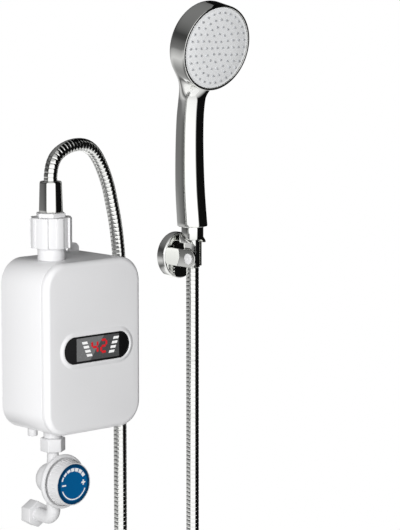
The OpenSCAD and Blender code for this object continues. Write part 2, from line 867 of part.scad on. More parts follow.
module hose_nut_heater() {
    color("silver") difference() {
        translate([pipe_x, -pipe_p, hose_nut_z]) cylinder(h = hose_nut_h, r1 = hose_nut_r0, r2 = hose_nut_r1);
        bar_up(pipe_x, pipe_p, hose_nut_z - 1, hose_start_z, half_inch_r + fit);
        bar_up(pipe_x, pipe_p, hose_nut_z - 1, hose_nut_z + hose_nut_h + 1, hose_r + 2 * fit);
    }
}

// Inlet and flow valve

module inlet_spout() {
    color("white") difference() {
        union() {
            bar_up(pipe_x, pipe_p, inlet_union_z, bottom_z, inlet_collar_r);
            bar_up(pipe_x, pipe_p, inlet_union_z - inlet_spigot, bottom_z + inlet_tail, inlet_r);
        }
        bar_up(pipe_x, pipe_p, inlet_union_z - inlet_spigot - 1, bottom_z + inlet_tail + 1, inlet_bore_r);
    }
}

module inlet_locknut() {
    low = bottom_z + wall + inlet_pad_t;
    color("white") difference() {
        hex_up(pipe_x, pipe_p, low, low + locknut_h, inlet_nut_r, 30);
        bar_up(pipe_x, pipe_p, low - 1, low + locknut_h + 1, inlet_r + run_fit);
    }
}

module inlet_filter() {
    color("gray") difference() {
        bar_up(pipe_x, pipe_p, filter_z, filter_z + filter_t, inlet_r);
        for (x = [-2 : 2], y = [-2 : 2]) if (abs(x) + abs(y) < 4)
            bar_up(pipe_x + x * 1.6, pipe_p + y * 1.6, filter_z - 1, filter_z + filter_t + 1, 0.55);
    }
}

module inlet_union_nut() {
    color("white") difference() {
        hex_up(pipe_x, pipe_p, valve_top_z - union_floor, inlet_union_z, union_r, 30);
        bar_up(pipe_x, pipe_p, valve_top_z, inlet_union_z + 1, inlet_r + fit);
        bar_up(pipe_x, pipe_p, valve_top_z - union_floor - 1, inlet_union_z, tail_pipe_r + fit);
    }
}

// A quarter bend from the upright pipe to the wall
module elbow(r) {
    translate([pipe_x, -pipe_p + elbow_r, elbow_z + elbow_r]) rotate([-90, 0, -90])
        rotate_extrude(angle = 90) translate([elbow_r, 0]) circle(r);
}

module valve_body() {
    color("white") difference() {
        union() {
            translate([pipe_x, -valve_front, valve_z]) rotate([-90, 0, 0]) rotate_extrude() polygon(concat(
                [[0, 0], [valve_r, 0]],
                [for (a = [0 : 15 : 90]) [valve_r - valve_dome + valve_dome * cos(a),
                    valve_front - valve_back - valve_dome + valve_dome * sin(a)]],
                [[0, valve_front - valve_back]]
            ));
            bar_up(pipe_x, pipe_p, valve_z, valve_top_z + eps, tail_pipe_r);
            bar_up(pipe_x, pipe_p, valve_top_z, valve_top_z + valve_flange_t, inlet_r);
            bar_up(pipe_x, pipe_p, elbow_z + elbow_r, valve_z, supply_pipe_r);
            elbow(supply_pipe_r);
            bar_out(pipe_x, elbow_z, supply_seat - eps, pipe_p - elbow_r, supply_pipe_r, supply_pipe_r);
            bar_out(pipe_x, elbow_z, supply_seat - supply_flange, supply_seat, supply_seat_r, supply_seat_r);
        }
        bar_up(pipe_x, pipe_p, valve_z, valve_top_z + valve_flange_t + 1, bore_r - 0.8);
        bar_out(pipe_x, valve_z, chamber_back, valve_front + 1, chamber_r, chamber_r);
        bar_up(pipe_x, pipe_p, elbow_z + elbow_r, valve_z, bore_r);
        elbow(bore_r);
        bar_out(pipe_x, elbow_z, supply_seat - supply_flange - 1, pipe_p - elbow_r, bore_r, bore_r);
    }
}

module valve_bonnet() {
    color("white") difference() {
        translate([pipe_x, -valve_front, valve_z]) rotate([90, 0, 0]) rotate_extrude() polygon([
            [0, -bonnet_hub], [chamber_r - fit, -bonnet_hub], [chamber_r - fit, 0], [bonnet_r - 3, 0],
            [bonnet_r, 2], [bonnet_r, bonnet_t - 1.5], [bonnet_r - 1.5, bonnet_t], [0, bonnet_t]
        ]);
        bar_out(pipe_x, valve_z, valve_front - bonnet_hub - 1, valve_front + bonnet_t + 1,
            spindle_r + run_fit, spindle_r + run_fit);
    }
}

module valve_spindle() {
    disc_p = valve_front - bonnet_hub - fit;
    color("silver") difference() {
        union() {
            bar_out(pipe_x, valve_z, disc_p - disc_t, spindle_end, spindle_r, spindle_r);
            bar_out(pipe_x, valve_z, disc_p - disc_t, disc_p, chamber_r - fit, chamber_r - fit);
        }
        for (s = [-1, 1])
            bar_out(pipe_x, valve_z + s * 7, disc_p - disc_t - 1, disc_p + 1, 2, 2);
        bar_out(pipe_x, valve_z, spindle_end - 8, spindle_end + 1, knob_screw_r + 0.15, knob_screw_r + 0.15);
    }
}

module flow_knob() {
    color("white") difference() {
        translate([pipe_x, -knob_back, valve_z]) rotate([90, 0, 0]) rotate_extrude() polygon([
            [0, 0], [hub_r, 0], [hub_r, knob_front - knob_back - knob_web - 2],
            [knob_r1 - knob_wall, knob_front - knob_back - knob_web - 2], [knob_r0 - knob_wall, 0],
            [knob_r0, 0], [knob_r1, knob_front - knob_back - 0.8], [knob_r1 - 0.6, knob_front - knob_back],
            [0, knob_front - knob_back]
        ]);
        bar_out(pipe_x, valve_z, dial_seat, dial_p + 1, dial_r + 0.1, dial_r + 0.1);
        bar_out(pipe_x, valve_z, knob_back - 1, spindle_end + 0.2, spindle_r + run_fit, spindle_r + run_fit);
        bar_out(pipe_x, valve_z, spindle_end, dial_p, knob_screw_r + 0.15, knob_screw_r + 0.15);
        bar_out(pipe_x, valve_z, dial_seat - 2.4, dial_p, knob_screw_head_r + fit, knob_screw_head_r + fit);
        for (k = [0 : knob_flutes - 1]) translate([pipe_x, 0, valve_z]) rotate([0, k * 360 / knob_flutes, 0])
            bar_out(knob_r0 + 0.35, 0, knob_back - 1, knob_front - 3, flute_r, flute_r);
    }
}

module knob_screw() {
    color("silver") {
        bar_out(pipe_x, valve_z, spindle_end - 7, dial_seat - 2, knob_screw_r, knob_screw_r);
        bar_out(pipe_x, valve_z, dial_seat - 2.4, dial_seat - 0.4, knob_screw_head_r, knob_screw_head_r);
    }
}

module knob_dial() {
    color("steelblue") bar_out(pipe_x, valve_z, dial_seat, dial_p, dial_r, dial_r);
}

module supply_washer() {
    color("dimgray") difference() {
        bar_out(pipe_x, elbow_z, supply_seat - supply_flange - washer_t, supply_seat - supply_flange,
            supply_seat_r, supply_seat_r);
        bar_out(pipe_x, elbow_z, 0, supply_seat, bore_r, bore_r);
    }
}

module supply_union_nut() {
    color("white") difference() {
        translate([pipe_x, -supply_back, elbow_z]) rotate([90, 30, 0])
            cylinder(h = supply_nut_l, r = supply_nut_r, $fn = 6);
        bar_out(pipe_x, elbow_z, -1, supply_seat - supply_flange - washer_t, supply_bore_r, supply_bore_r);
        bar_out(pipe_x, elbow_z, -1, supply_seat, supply_seat_r + fit, supply_seat_r + fit);
        bar_out(pipe_x, elbow_z, -1, supply_back + supply_nut_l + 1,
            supply_pipe_r + fit, supply_pipe_r + fit);
    }
}

// Hose

// A ribbed tube of a given length; its two rings a rib lie on the crest and in the groove
module ribbed(length, kind) {
    ribs = floor((length - 4 * hose_r) / rib_pitch);
    lead = (length - ribs * rib_pitch) / 2;
    stops = concat([0], [for (i = [0 : ribs - 1]) each [lead + i * rib_pitch, lead + (i + 0.5) * rib_pitch]],
        [length - lead, length]);
    inner = max(4, ceil(length / 18));
    outside = [for (i = [0 : len(stops) - 1])
        each ring(kind(stops[i]), kind(min(length, stops[i] + 0.5)) - kind(max(0, stops[i] - 0.5)),
            i == 0 || i == len(stops) - 1 || i % 2 == 0 ? hose_r : groove_r)];
    inside = [for (i = [0 : inner])
        let (s = i * length / inner)
        each ring(kind(s), kind(min(length, s + 0.5)) - kind(max(0, s - 0.5)), hose_bore_r)];
    first = len(outside);
    polyhedron(
        concat(outside, inside),
        concat(
            skin(0, len(stops), true), skin(first, inner + 1, false), cap(0, first, true),
            cap(first - hose_sides, first + inner * hose_sides, false)
        )
    );
}

module hose_main() {
    color("silver") ribbed(main_length, function (s) on_main(s));
}

module hose_upper() {
    color("silver") ribbed(upper_length, function (s) on_upper(s));
}

module hose_sleeve() {
    flange_z = hnut_z + hnut_floor;
    color("silver") difference() {
        union() {
            bar_up(bracket_x, hang_p, sleeve_low, flange_z + sleeve_flange_t, sleeve_r);
            bar_up(bracket_x, hang_p, flange_z, flange_z + sleeve_flange_t, half_inch_r);
        }
        bar_up(bracket_x, hang_p, sleeve_low - 1, flange_z - 1, sleeve_in_r);
        bar_up(bracket_x, hang_p, flange_z - 2, flange_z + sleeve_flange_t + 1, hose_bore_r);
    }
}

module hose_nut_handset() {
    color("silver") difference() {
        translate([bracket_x, -hang_p, hnut_z]) rotate_extrude() polygon([
            [0, 0], [hnut_r - 1.2, 0], [hnut_r - 0.3, 0.5], [hnut_r, 1.4], [hnut_r, hnut_h], [0, hnut_h]
        ]);
        bar_up(bracket_x, hang_p, hnut_z + hnut_floor, foot_z + 1, half_inch_r + fit);
        bar_up(bracket_x, hang_p, hnut_z - 1, foot_z, sleeve_r + fit);
    }
}

// Hand shower

module handset_washer() {
    color("dimgray") difference() {
        bar_up(bracket_x, hang_p, spigot_z - washer_t, spigot_z, half_inch_r);
        bar_up(bracket_x, hang_p, spigot_z - washer_t - 1, spigot_z + 1, bore_r);
    }
}

// Puts a shape on the shower head's axis, with Z out of the spray face
module on_head() {
    translate([bracket_x, -face_p, face_z]) rotate([90 + face_tilt, 0, 0]) children();
}

module handle_form() {
    n = handle_sides;
    rings = len(handle_fine);
    points = [for (h = handle_fine) for (k = [0 : n - 1])
        [bracket_x + h[2] * cos(k * 360 / n), -h[1] + h[3] * sin(k * 360 / n), h[0]]];
    sides = [for (i = [0 : rings - 2]) for (k = [0 : n - 1])
        let (a = i * n + k, b = i * n + (k + 1) % n, c = b + n, d = a + n) each [[a, c, b], [a, d, c]]];
    polyhedron(points, concat(sides, [[for (k = [0 : n - 1]) k]],
        [[for (k = [n - 1 : -1 : 0]) (rings - 1) * n + k]]));
}

module handset_body() {
    color("silver") difference() {
        union() {
            handle_form();
            on_head() rotate_extrude() polygon(concat(
                [[0, 0], [head_r - 1.5, 0], [head_r, -1.5]],
                [for (a = [0 : 15 : 90]) [head_r - dome_d * 2.2 * (1 - cos(a)), -rim_d - dome_d * sin(a)]],
                [[0, -rim_d - dome_d]]
            ));
            bar_up(bracket_x, hang_p, spigot_z, foot_z + 4, half_inch_r);
        }
        on_head() translate([0, 0, -plate_seat]) cylinder(h = plate_seat + 1, r = plate_r_face + fit);
        on_head() translate([0, 0, -plate_seat - chamber_head_d])
            cylinder(h = chamber_head_d + 1, r = chamber_head_r);
        bar_up(bracket_x, hang_p, spigot_z - 1, foot_z + handle_bore_l, handle_bore_r);
        translate([bracket_x, -hang_p - 1, foot_z + neck_bore_z]) rotate([neck_bore_tilt, 0, 0])
            cylinder(h = neck_bore_l, r = handle_bore_r);
    }
}

module spray_plate() {
    color("whitesmoke") on_head() translate([0, 0, -plate_seat])
        cylinder(h = plate_seat - plate_front, r = plate_r_face);
}

module spray_nozzles() {
    color("gray") on_head() {
        translate([0, 0, -plate_front]) cylinder(h = nozzle_h, r = nozzle_r);
        for (k = [1 : nozzle_rings]) for (j = [0 : 6 * k - 1]) rotate([0, 0, j * 60 / k])
            translate([k * nozzle_step, 0, -plate_front]) cylinder(h = nozzle_h, r = nozzle_r);
    }
}

// Shower bracket

module bracket_plate() {
    color("ivory") difference() {
        bar_out(bracket_x, bracket_z, 0, plate_t, plate_r, plate_r);
        for (s = [-1, 1]) bar_out(bracket_x, bracket_z + s * screw_pitch / 2, -1, plate_t + 1,
            plate_hole_r, plate_hole_r);
    }
}

module bracket_body() {
    color("silver") difference() {
        union() {
            difference() {
                translate([bracket_x, 0, bracket_z]) rotate([90, 0, 0]) rotate_extrude() polygon([
                    [0, 0], [base_r, 0], [base_r, base_p - 1.5], [base_r - 1.5, base_p], [0, base_p]
                ]);
                bar_out(bracket_x, bracket_z, -1, base_p - base_wall, base_r - base_wall, base_r - base_wall);
            }
            translate([bracket_x - arm_out, -pivot_p, bracket_z - arm_h / 2])
                cube([arm_t, pivot_p - base_p + 1, arm_h]);
            bar_across(pivot_p, bracket_z, bracket_x - arm_out, bracket_x - arm_in, arm_h / 2);
            bar_out(bracket_x, bracket_z, plate_t, base_p - 1, 5, 5);
        }
        bar_across(pivot_p, bracket_z, bracket_x - arm_out - 1, bracket_x - arm_in + 1, pivot_r + run_fit);
    }
}

// A channel open to the front, round an upright axis
module channel(z0, z1, half, front) {
    bar_up(bracket_x, hang_p, z0, z1, half);
    translate([bracket_x - half, -front, z0]) cube([2 * half, front - hang_p, z1 - z0]);
}

module cradle() {
    color("silver") difference() {
        union() {
            channel(cradle_low, hnut_z, cradle_out, cradle_front);
            bar_up(bracket_x, hang_p, hnut_z - cup_floor, hnut_z + cup_lip, cup_in + cup_wall);
        }
        channel(cradle_low - 1, hnut_z + cup_lip + 1, cradle_in, hang_p + cradle_open);
        bar_up(bracket_x, hang_p, hnut_z, hnut_z + cup_lip + 1, cup_in);
        translate([bracket_x, 6 - hang_p, hnut_z + cup_lip]) rotate([-cup_slope, 0, 0])
            translate([-20, -40, -40]) cube([40, 40, 90]);
        translate([bracket_x, -hang_p - cradle_open, cradle_low - 1])
            cube([cradle_open, cradle_open - cradle_cheek, hnut_z - cup_floor - cradle_low + 1]);
        bar_across(pivot_p, bracket_z, bracket_x - arm_out, bracket_x, pivot_r + run_fit);
    }
}

module pivot_screw() {
    color("silver") translate([bracket_x, -pivot_p, bracket_z]) rotate([0, -90, 0]) difference() {
        union() {
            translate([0, 0, cradle_in + 0.2]) cylinder(h = arm_out - cradle_in + run_fit, r = pivot_r);
            translate([0, 0, arm_out + run_fit]) cylinder(h = pivot_head_t, r = pivot_head_r);
        }
        translate([0, 0, arm_out + run_fit + pivot_head_t - 1]) cylinder(h = 2, r = pivot_mark_r);
    }
}

rear_shell();
front_cover();
cover_gasket();
cover_screws();
display_lens();
display_module();
display_board();
heating_tank();
tank_gasket();
tank_cap();
heating_element();
thermal_cutout();
flow_switch_body();
flow_piston();
reed_switch();
control_board();
terminal_block();
cable_gland();
gland_nut();
outlet_spout();
outlet_locknut();
outlet_washer();
outlet_tail();
outlet_coupling_nut();
hose_adapter();
hose_washer_heater();
hose_fitting_heater();
hose_nut_heater();
inlet_spout();
inlet_locknut();
inlet_filter();
inlet_union_nut();
valve_body();
valve_bonnet();
valve_spindle();
flow_knob();
knob_screw();
knob_dial();
supply_washer();
supply_union_nut();
hose_main();
hose_upper();
hose_sleeve();
hose_nut_handset();
handset_washer();
handset_body();
spray_plate();
spray_nozzles();
bracket_plate();
bracket_body();
cradle();
pivot_screw();
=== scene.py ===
"""Dresses the wall-hung instant water heater, its flow valve, hose, hand shower and bracket."""

import math

import bmesh
import bpy
from mathutils import Matrix, Vector


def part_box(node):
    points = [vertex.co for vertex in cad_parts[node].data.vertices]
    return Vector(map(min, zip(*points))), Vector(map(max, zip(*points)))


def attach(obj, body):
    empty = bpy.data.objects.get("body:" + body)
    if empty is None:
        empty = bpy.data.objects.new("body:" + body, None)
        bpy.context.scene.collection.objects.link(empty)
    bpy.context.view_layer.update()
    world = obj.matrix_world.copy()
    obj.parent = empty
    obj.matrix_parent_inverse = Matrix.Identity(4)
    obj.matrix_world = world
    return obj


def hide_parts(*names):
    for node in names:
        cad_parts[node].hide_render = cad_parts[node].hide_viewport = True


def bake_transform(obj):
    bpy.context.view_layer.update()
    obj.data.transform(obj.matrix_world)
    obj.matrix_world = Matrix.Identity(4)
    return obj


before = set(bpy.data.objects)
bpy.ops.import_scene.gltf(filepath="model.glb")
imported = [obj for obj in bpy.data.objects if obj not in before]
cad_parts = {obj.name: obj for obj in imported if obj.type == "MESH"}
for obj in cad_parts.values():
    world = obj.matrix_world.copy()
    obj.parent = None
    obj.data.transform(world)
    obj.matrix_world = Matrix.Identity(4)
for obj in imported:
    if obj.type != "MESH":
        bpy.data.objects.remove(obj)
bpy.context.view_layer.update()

bl_info = {
    "name": "Instant Water Heater Set",
    "version": (1, 0, 0),
    "blender": (4, 5, 0),
    "location": "View3D > Sidebar > Heater",
    "description": "Builds the visible pieces of a wall-hung water heater and its shower set",
    "category": "Add Mesh",
}

MM = 0.001
SLACK = 0.02 * MM
# Places in mm: X to the right, P out of the wall (Y is -P), and Z up from the casing's middle.
SEAM_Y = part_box("rear_shell")[0][1] / MM
COVER_LOW, COVER_HIGH = ([v / MM for v in corner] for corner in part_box("front_cover"))
PIPE_X, PIPE_P = -27.0, 38.0
HANG_X, HANG_P = 171.0, 28.5
VALVE_Z, ELBOW_Z = -136.0, -176.5
DISPLAY_X, DISPLAY_P, DISPLAY_Z = 2.6, 72.5, -1.6
DIAL_P, DIAL_BLUE_R, DIAL_DEEP_R = 70.5, 16.8, 17.4

# The middle of the hose from the heater's nut to the join below the sleeve, in metres.
HOSE_ROUTE = [
    (-0.027, -0.038, 0.154), (-0.027, -0.038, 0.162), (-0.027, -0.038, 0.170), (-0.024, -0.0375, 0.181),
    (-0.017, -0.0365, 0.1895), (-0.004, -0.035, 0.1955), (0.011, -0.0335, 0.1975), (0.025, -0.032, 0.195),
    (0.036, -0.0305, 0.1875), (0.046, -0.029, 0.174), (0.055, -0.028, 0.155), (0.061, -0.027, 0.136),
    (0.066, -0.0265, 0.116), (0.0695, -0.026, 0.096), (0.0715, -0.026, 0.076), (0.072, -0.026, 0.050),
    (0.072, -0.026, 0.0), (0.072, -0.026, -0.100), (0.072, -0.026, -0.200), (0.072, -0.026, -0.300),
    (0.072, -0.026, -0.400), (0.072, -0.026, -0.468), (0.0725, -0.026, -0.486), (0.0765, -0.026, -0.504),
    (0.087, -0.0265, -0.520), (0.104, -0.027, -0.5295), (0.1215, -0.0275, -0.5329), (0.139, -0.028, -0.5295),
    (0.156, -0.0285, -0.520), (0.1665, -0.0285, -0.504), (0.1705, -0.0285, -0.486), (0.171, -0.0285, -0.468),
    (0.171, -0.0285, -0.400), (0.171, -0.0285, -0.300), (0.171, -0.0285, -0.200), (0.171, -0.0285, -0.100),
    (0.171, -0.0285, -0.040),
]
HOSE_TOP = (0.171, -0.0285, 0.085)


# Settings

class CasingSettings(bpy.types.PropertyGroup):
    """Sizes of the heater's casing."""

    corner: bpy.props.FloatProperty(
        name="Corner radius", description="Radius of the casing's four corners", default=0.025,
        unit="LENGTH")
    front_edge: bpy.props.FloatProperty(
        name="Front edge", description="Rounding of the cover's front edge", default=0.0055, unit="LENGTH")
    seam: bpy.props.FloatProperty(
        name="Seam", description="Rounding on both sides of the cover's seam", default=0.0005, unit="LENGTH")


class HoseSettings(bpy.types.PropertyGroup):
    """Sizes of the wound hose."""

    radius: bpy.props.FloatProperty(
        name="Radius", description="Outer radius over the ribs", default=0.0067, unit="LENGTH")
    groove: bpy.props.FloatProperty(
        name="Groove depth", description="Depth of the groove between two ribs", default=0.00033,
        unit="LENGTH")
    pitch: bpy.props.FloatProperty(
        name="Pitch", description="Distance from one rib to the next", default=0.0044, unit="LENGTH")
    sides: bpy.props.IntProperty(
        name="Sides", description="Faces round the hose", default=24, min=12, max=48)


class ColourSettings(bpy.types.PropertyGroup):
    """Colours of the finishes."""

    white: bpy.props.FloatVectorProperty(
        name="White plastic", description="Colour of the casing", default=(0.81, 0.81, 0.82),
        subtype="COLOR", min=0, max=1)
    chrome: bpy.props.FloatVectorProperty(
        name="Chrome", description="Colour of the plating", default=(0.83, 0.835, 0.815),
        subtype="COLOR", min=0, max=1)
    dial: bpy.props.FloatVectorProperty(
        name="Dial", description="Colour of the valve's dial", default=(0.001, 0.097, 0.27),
        subtype="COLOR", min=0, max=1)
    digits: bpy.props.FloatVectorProperty(
        name="Digits", description="Colour of the display's digits", default=(0.62, 0.012, 0.02),
        subtype="COLOR", min=0, max=1)


# Modelling by hand

def calm():
    """Goes back to object mode with nothing selected."""
    if bpy.context.mode != "OBJECT":
        bpy.ops.object.mode_set(mode="OBJECT")
    bpy.ops.object.select_all(action="DESELECT")


def hold(obj):
    """Makes a piece the only selected one."""
    calm()
    obj.select_set(True)
    bpy.context.view_layer.objects.active = obj


def settle():
    """Puts the held piece's place, turn and scale into its mesh."""
    bpy.ops.object.transform_apply(location=True, rotation=True, scale=True)
    return bpy.context.object


def open_mesh(obj):
    """Goes into a piece's mesh."""
    hold(obj)
    bpy.ops.object.mode_set(mode="EDIT")


def close_mesh():
    """Comes out of the mesh."""
    bpy.ops.object.mode_set(mode="OBJECT")


def pick_all():
    """Selects all of the open mesh."""
    bpy.ops.mesh.select_all(action="SELECT")


def pick(kind, test):
    """Selects the vertices, edges or faces of the open mesh that pass a test."""
    bpy.ops.mesh.select_mode(type=kind)
    bpy.ops.mesh.select_all(action="DESELECT")
    data = bpy.context.object.data
    mesh = bmesh.from_edit_mesh(data)
    items = {"VERT": mesh.verts, "EDGE": mesh.edges, "FACE": mesh.faces}[kind]
    chosen = [item for item in items if test(item)]
    if not chosen:
        raise RuntimeError(f"nothing to select on {bpy.context.object.name}")
    for item in chosen:
        item.select_set(True)
    mesh.select_flush_mode()
    bmesh.update_edit_mesh(data)


def shift(x, y, z):
    """Moves what is selected by a step in mm."""
    bpy.ops.transform.translate(value=(x * MM, y * MM, z * MM))


def pull(x, y, z):
    """Extrudes what is selected by a step in mm."""
    bpy.ops.mesh.extrude_region_move(TRANSFORM_OT_translate={"value": (x * MM, y * MM, z * MM)})


def swell(distance):
    """Extrudes the selected faces along their normals, in mm."""
    bpy.ops.mesh.extrude_region_shrink_fatten(TRANSFORM_OT_shrink_fatten={"value": distance * MM})


def widen(x, y, spot):
    """Scales what is selected along X and Y, about a spot in mm."""
    bpy.ops.transform.resize(value=(x, y, 1), center_override=[v * MM for v in spot])


def face_out(merge=0):
    """Merges doubles nearer than a distance in mm, turns all faces outwards and closes the mesh."""
    pick_all()
    if merge:
        bpy.ops.mesh.remove_doubles(threshold=merge * MM)
    bpy.ops.mesh.normals_make_consistent(inside=False)
    close_mesh()


def disc(radius, spot=(0, 0, 0), sides=72, turn=0):
    """A flat plate with a number of sides, in mm."""
    calm()
    bpy.ops.mesh.primitive_circle_add(
        vertices=sides, radius=radius * MM, fill_type="NGON", location=[v * MM for v in spot],
        rotation=(0, 0, math.radians(turn)))
    return settle()


def rod(sides, radius, low, high, x=0, p=0, turn=0):
    """An upright bar with a number of sides, between two heights in mm."""
    calm()
    bpy.ops.mesh.primitive_cylinder_add(
        vertices=sides, radius=radius * MM, depth=(high - low) * MM, rotation=(0, 0, math.radians(turn)),
        location=(x * MM, -p * MM, (low + high) / 2 * MM))
    return settle()


def block(low, high):
    """A box between two corners in mm."""
    calm()
    bpy.ops.mesh.primitive_cube_add(size=1, location=[(a + b) / 2 * MM for a, b in zip(low, high)])
    bpy.context.object.scale = [(b - a) * MM for a, b in zip(low, high)]
    return settle()


def skin(name, points, faces):
    """A piece made of points in metres and the faces between them."""
    data = bpy.data.meshes.new(name)
    data.from_pydata(points, [], faces)
    obj = bpy.data.objects.new(name, data)
    bpy.context.scene.collection.objects.link(obj)
    return obj


def stand(obj, spot=(0, 0, 0), turn=(0, 0, 0)):
    """Turns a piece by degrees, puts it at a spot in mm, and settles that into its mesh."""
    hold(obj)
    obj.rotation_euler = [math.radians(a) for a in turn]
    obj.location = [v * MM for v in spot]
    return settle()


def lathe(profile, sides=72):
    """Raises a round piece along Z from (radius, height) pairs in mm, closed at both ends."""
    radius, height = profile[0]
    obj = disc(radius, (0, 0, height), sides)
    open_mesh(obj)
    pick_all()
    for (ra, za), (rb, zb) in zip(profile, profile[1:]):
        pull(0, 0, zb - za)
        widen(rb / ra, rb / ra, (0, 0, zb))
    face_out()
    return obj


def upright(profile, x, p, sides=72):
    """A round piece on an upright axis; heights are above the casing's middle."""
    return stand(lathe(profile, sides), (x, -p, 0))


def outward(profile, x, z, sides=72):
    """A round piece on an axis out of the wall; heights are depths from the wall."""
    return stand(lathe(profile, sides), (x, 0, z), (90, 0, 0))


def at(axis, value):
    """A test for edges that lie at one height on an axis, in mm."""
    return lambda e: all(abs(v.co[axis] - value * MM) < SLACK for v in e.verts)


def along(axis):
    """A test for edges that run along one axis."""
    return lambda e: all(abs(e.verts[0].co[i] - e.verts[1].co[i]) < SLACK for i in range(3) if i != axis)


def round_edges(obj, test, radius, segments):
    """Rounds the edges that pass a test; the radius is in metres, as in the settings."""
    open_mesh(obj)
    pick("EDGE", test)
    bpy.ops.mesh.bevel(offset=radius, segments=segments, affect="EDGES", clamp_overlap=False)
    close_mesh()


def soften(obj, width, segments=3, angle=40):
    """Breaks every sharp edge of a piece by a width in mm."""
    hold(obj)
    bevel = obj.modifiers.new("Soft edges", "BEVEL")
    bevel.width = width * MM
    bevel.segments = segments
    bevel.limit_method = "ANGLE"
    bevel.angle_limit = math.radians(angle)
    bpy.ops.object.modifier_apply(modifier=bevel.name)
    return obj


def carve(obj, tool, operation="DIFFERENCE"):
    """Cuts a tool out of a piece, or joins it on."""
    hold(obj)
    cut = obj.modifiers.new("Cut", "BOOLEAN")
    cut.operation = operation
    cut.solver = "EXACT"
    cut.object = tool
    bpy.ops.object.modifier_apply(modifier=cut.name)
    hold(tool)
    bpy.ops.object.delete()


def join(obj, *others):
    """Joins other pieces onto a piece, as one object."""
    hold(obj)
    for other in others:
        other.select_set(True)
    bpy.ops.object.join()
    return obj


def place(obj, name, body, look, slot, *nodes):
    """Names a finished piece, gives it its finish and lets it ride on a body."""
    hold(obj)
    settle()
    bpy.ops.object.shade_smooth_by_angle(angle=math.radians(38))
    obj.name = name
    obj.data.name = name
    obj.data.materials.clear()
    obj.data.materials.append(looks()[look])
    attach(obj, body)
    if nodes:
        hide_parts(*nodes)


def hexagon(x, p, low, high, radius, turn, edge=0.9):
    """An upright six-sided nut with soft edges."""
    return soften(rod(6, radius, low, high, x, p, turn), edge)


def stretch(obj, step, bare):
    """Moves the two ends of a flat plate apart along X by a step, from a bare middle on, in mm."""
    open_mesh(obj)
    for side in (1, -1):
        pick("VERT", lambda v: v.co.x * side > bare * MM)
        shift(side * step, 0, 0)
    close_mesh()


def stadium(width, height, p):
    """A flat plate with round ends, facing out of the wall round the display's middle."""
    obj = disc(height / 2, sides=64)
    stretch(obj, (width - height) / 2, 0.01)
    return stand(obj, (DISPLAY_X, -p, DISPLAY_Z), (90, 0, 0))


def push(obj, *steps):
    """Extrudes a flat plate through steps of (inset, depth towards the wall) in mm."""
    open_mesh(obj)
    bpy.ops.mesh.select_mode(type="FACE")
    pick_all()
    for inset, depth in steps:
        if inset:
            bpy.ops.mesh.inset(thickness=inset * MM, depth=0)
            shift(0, depth, 0)
        else:
            pull(0, depth, 0)
    face_out()
    return obj


def flow(points, steps=12):
    """A smooth line through points."""
    line = []
    last = len(points) - 1
    for i in range(last):
        a, b, c, d = (points[max(0, min(last, i + k))] for k in (-1, 0, 1, 2))
        for k in range(steps):
            t = k / steps
            line.append(0.5 * (2 * b + (c - a) * t + (2 * a - 5 * b + 4 * c - d) * t * t
                               + (3 * b - a - 3 * c + d) * t * t * t))
    return line + [points[-1]]


# Finishes

def feed(tree, node, inputs):
    """Sets a node's inputs, each a plain value or the output of another node."""
    for name, value in inputs.items():
        if isinstance(value, bpy.types.NodeSocket):
            tree.links.new(value, node.inputs[name])
        else:
            node.inputs[name].default_value = value


def add(tree, kind, inputs, operation=None, output=0):
    """Adds a node, feeds it, and gives one of its outputs."""
    node = tree.nodes.new("ShaderNode" + kind)
    if operation:
        node.operation = operation
    feed(tree, node, inputs)
    return node.outputs[output]


def new_look(name):
    """A new finish: its material, its nodes, its shader and the piece's own coordinates."""
    look = bpy.data.materials.new(name)
    look.use_nodes = True
    tree = look.node_tree
    return look, tree, tree.nodes["Principled BSDF"], add(tree, "TexCoord", {}, output="Object")


def grain(tree, coords, scale, detail=3):
    """A fine or coarse noise over the piece."""
    return add(tree, "TexNoise", {"Scale": scale, "Detail": detail, "Vector": coords})


def part(tree, vector, axis):
    """One of the three parts of a vector."""
    return add(tree, "SeparateXYZ", {"Vector": vector}, output=axis)


def between(tree, value, start, end, low=0, high=1):
    """Spreads the values from a start to an end over two levels."""
    limits = {"From Min": start, "From Max": end, "To Min": low, "To Max": high}
    return add(tree, "MapRange", {"Value": value, **limits})


def gloss(tree, coords, size, low, high):
    """An uneven roughness between two levels."""
    return between(tree, grain(tree, coords, *size), 0.3, 0.7, low, high)


def tint(tree, value, *stops):
    """A ramp of colours."""
    node = tree.nodes.new("ShaderNodeValToRGB")
    elements = node.color_ramp.elements
    while len(elements) < len(stops):
        elements.new(0.5)
    for element, (spot, colour) in zip(elements, stops):
        element.position = spot
        element.color = (*colour, 1)
    tree.links.new(value, node.inputs["Fac"])
    return node.outputs["Color"]


def relief(tree, coords, size, strength, distance):
    """A fine relief of the surface."""
    height = grain(tree, coords, *size)
    return add(tree, "Bump", {"Strength": strength, "Distance": distance, "Height": height})


def shade(colour, factor):
    """A darker or lighter colour."""
    return tuple(min(1.0, c * factor) for c in colour)


def clouded(name, colour, cloud, shades, gloss_size, rough, fine, plain):
    """A finish with a cloud of two shades, an uneven gloss and a fine relief."""
    look, tree, shader, coords = new_look(name)
    stops = ((spot, shade(colour, factor)) for spot, factor in shades)
    feed(tree, shader, {
        "Base Color": tint(tree, grain(tree, coords, *cloud), *stops),
        "Roughness": gloss(tree, coords, gloss_size, *rough),
        "Normal": relief(tree, coords, *fine),
        **plain,
    })
    return look


def moulded(name, colour, rough=(0.28, 0.34), coat=0.2, vary=0.006, bump=0.012):
    """Moulded plastic: a faint cloud in its colour, a fine skin and a soft gloss."""
    shades = (0.35, 1 - vary), (0.65, 1 + vary)
    plain = {"Coat Weight": coat, "Coat Roughness": 0.12}
    return clouded(name, colour, (22, 4), shades, (160, 3), rough, ((900, 2), bump, 0.0002), plain)


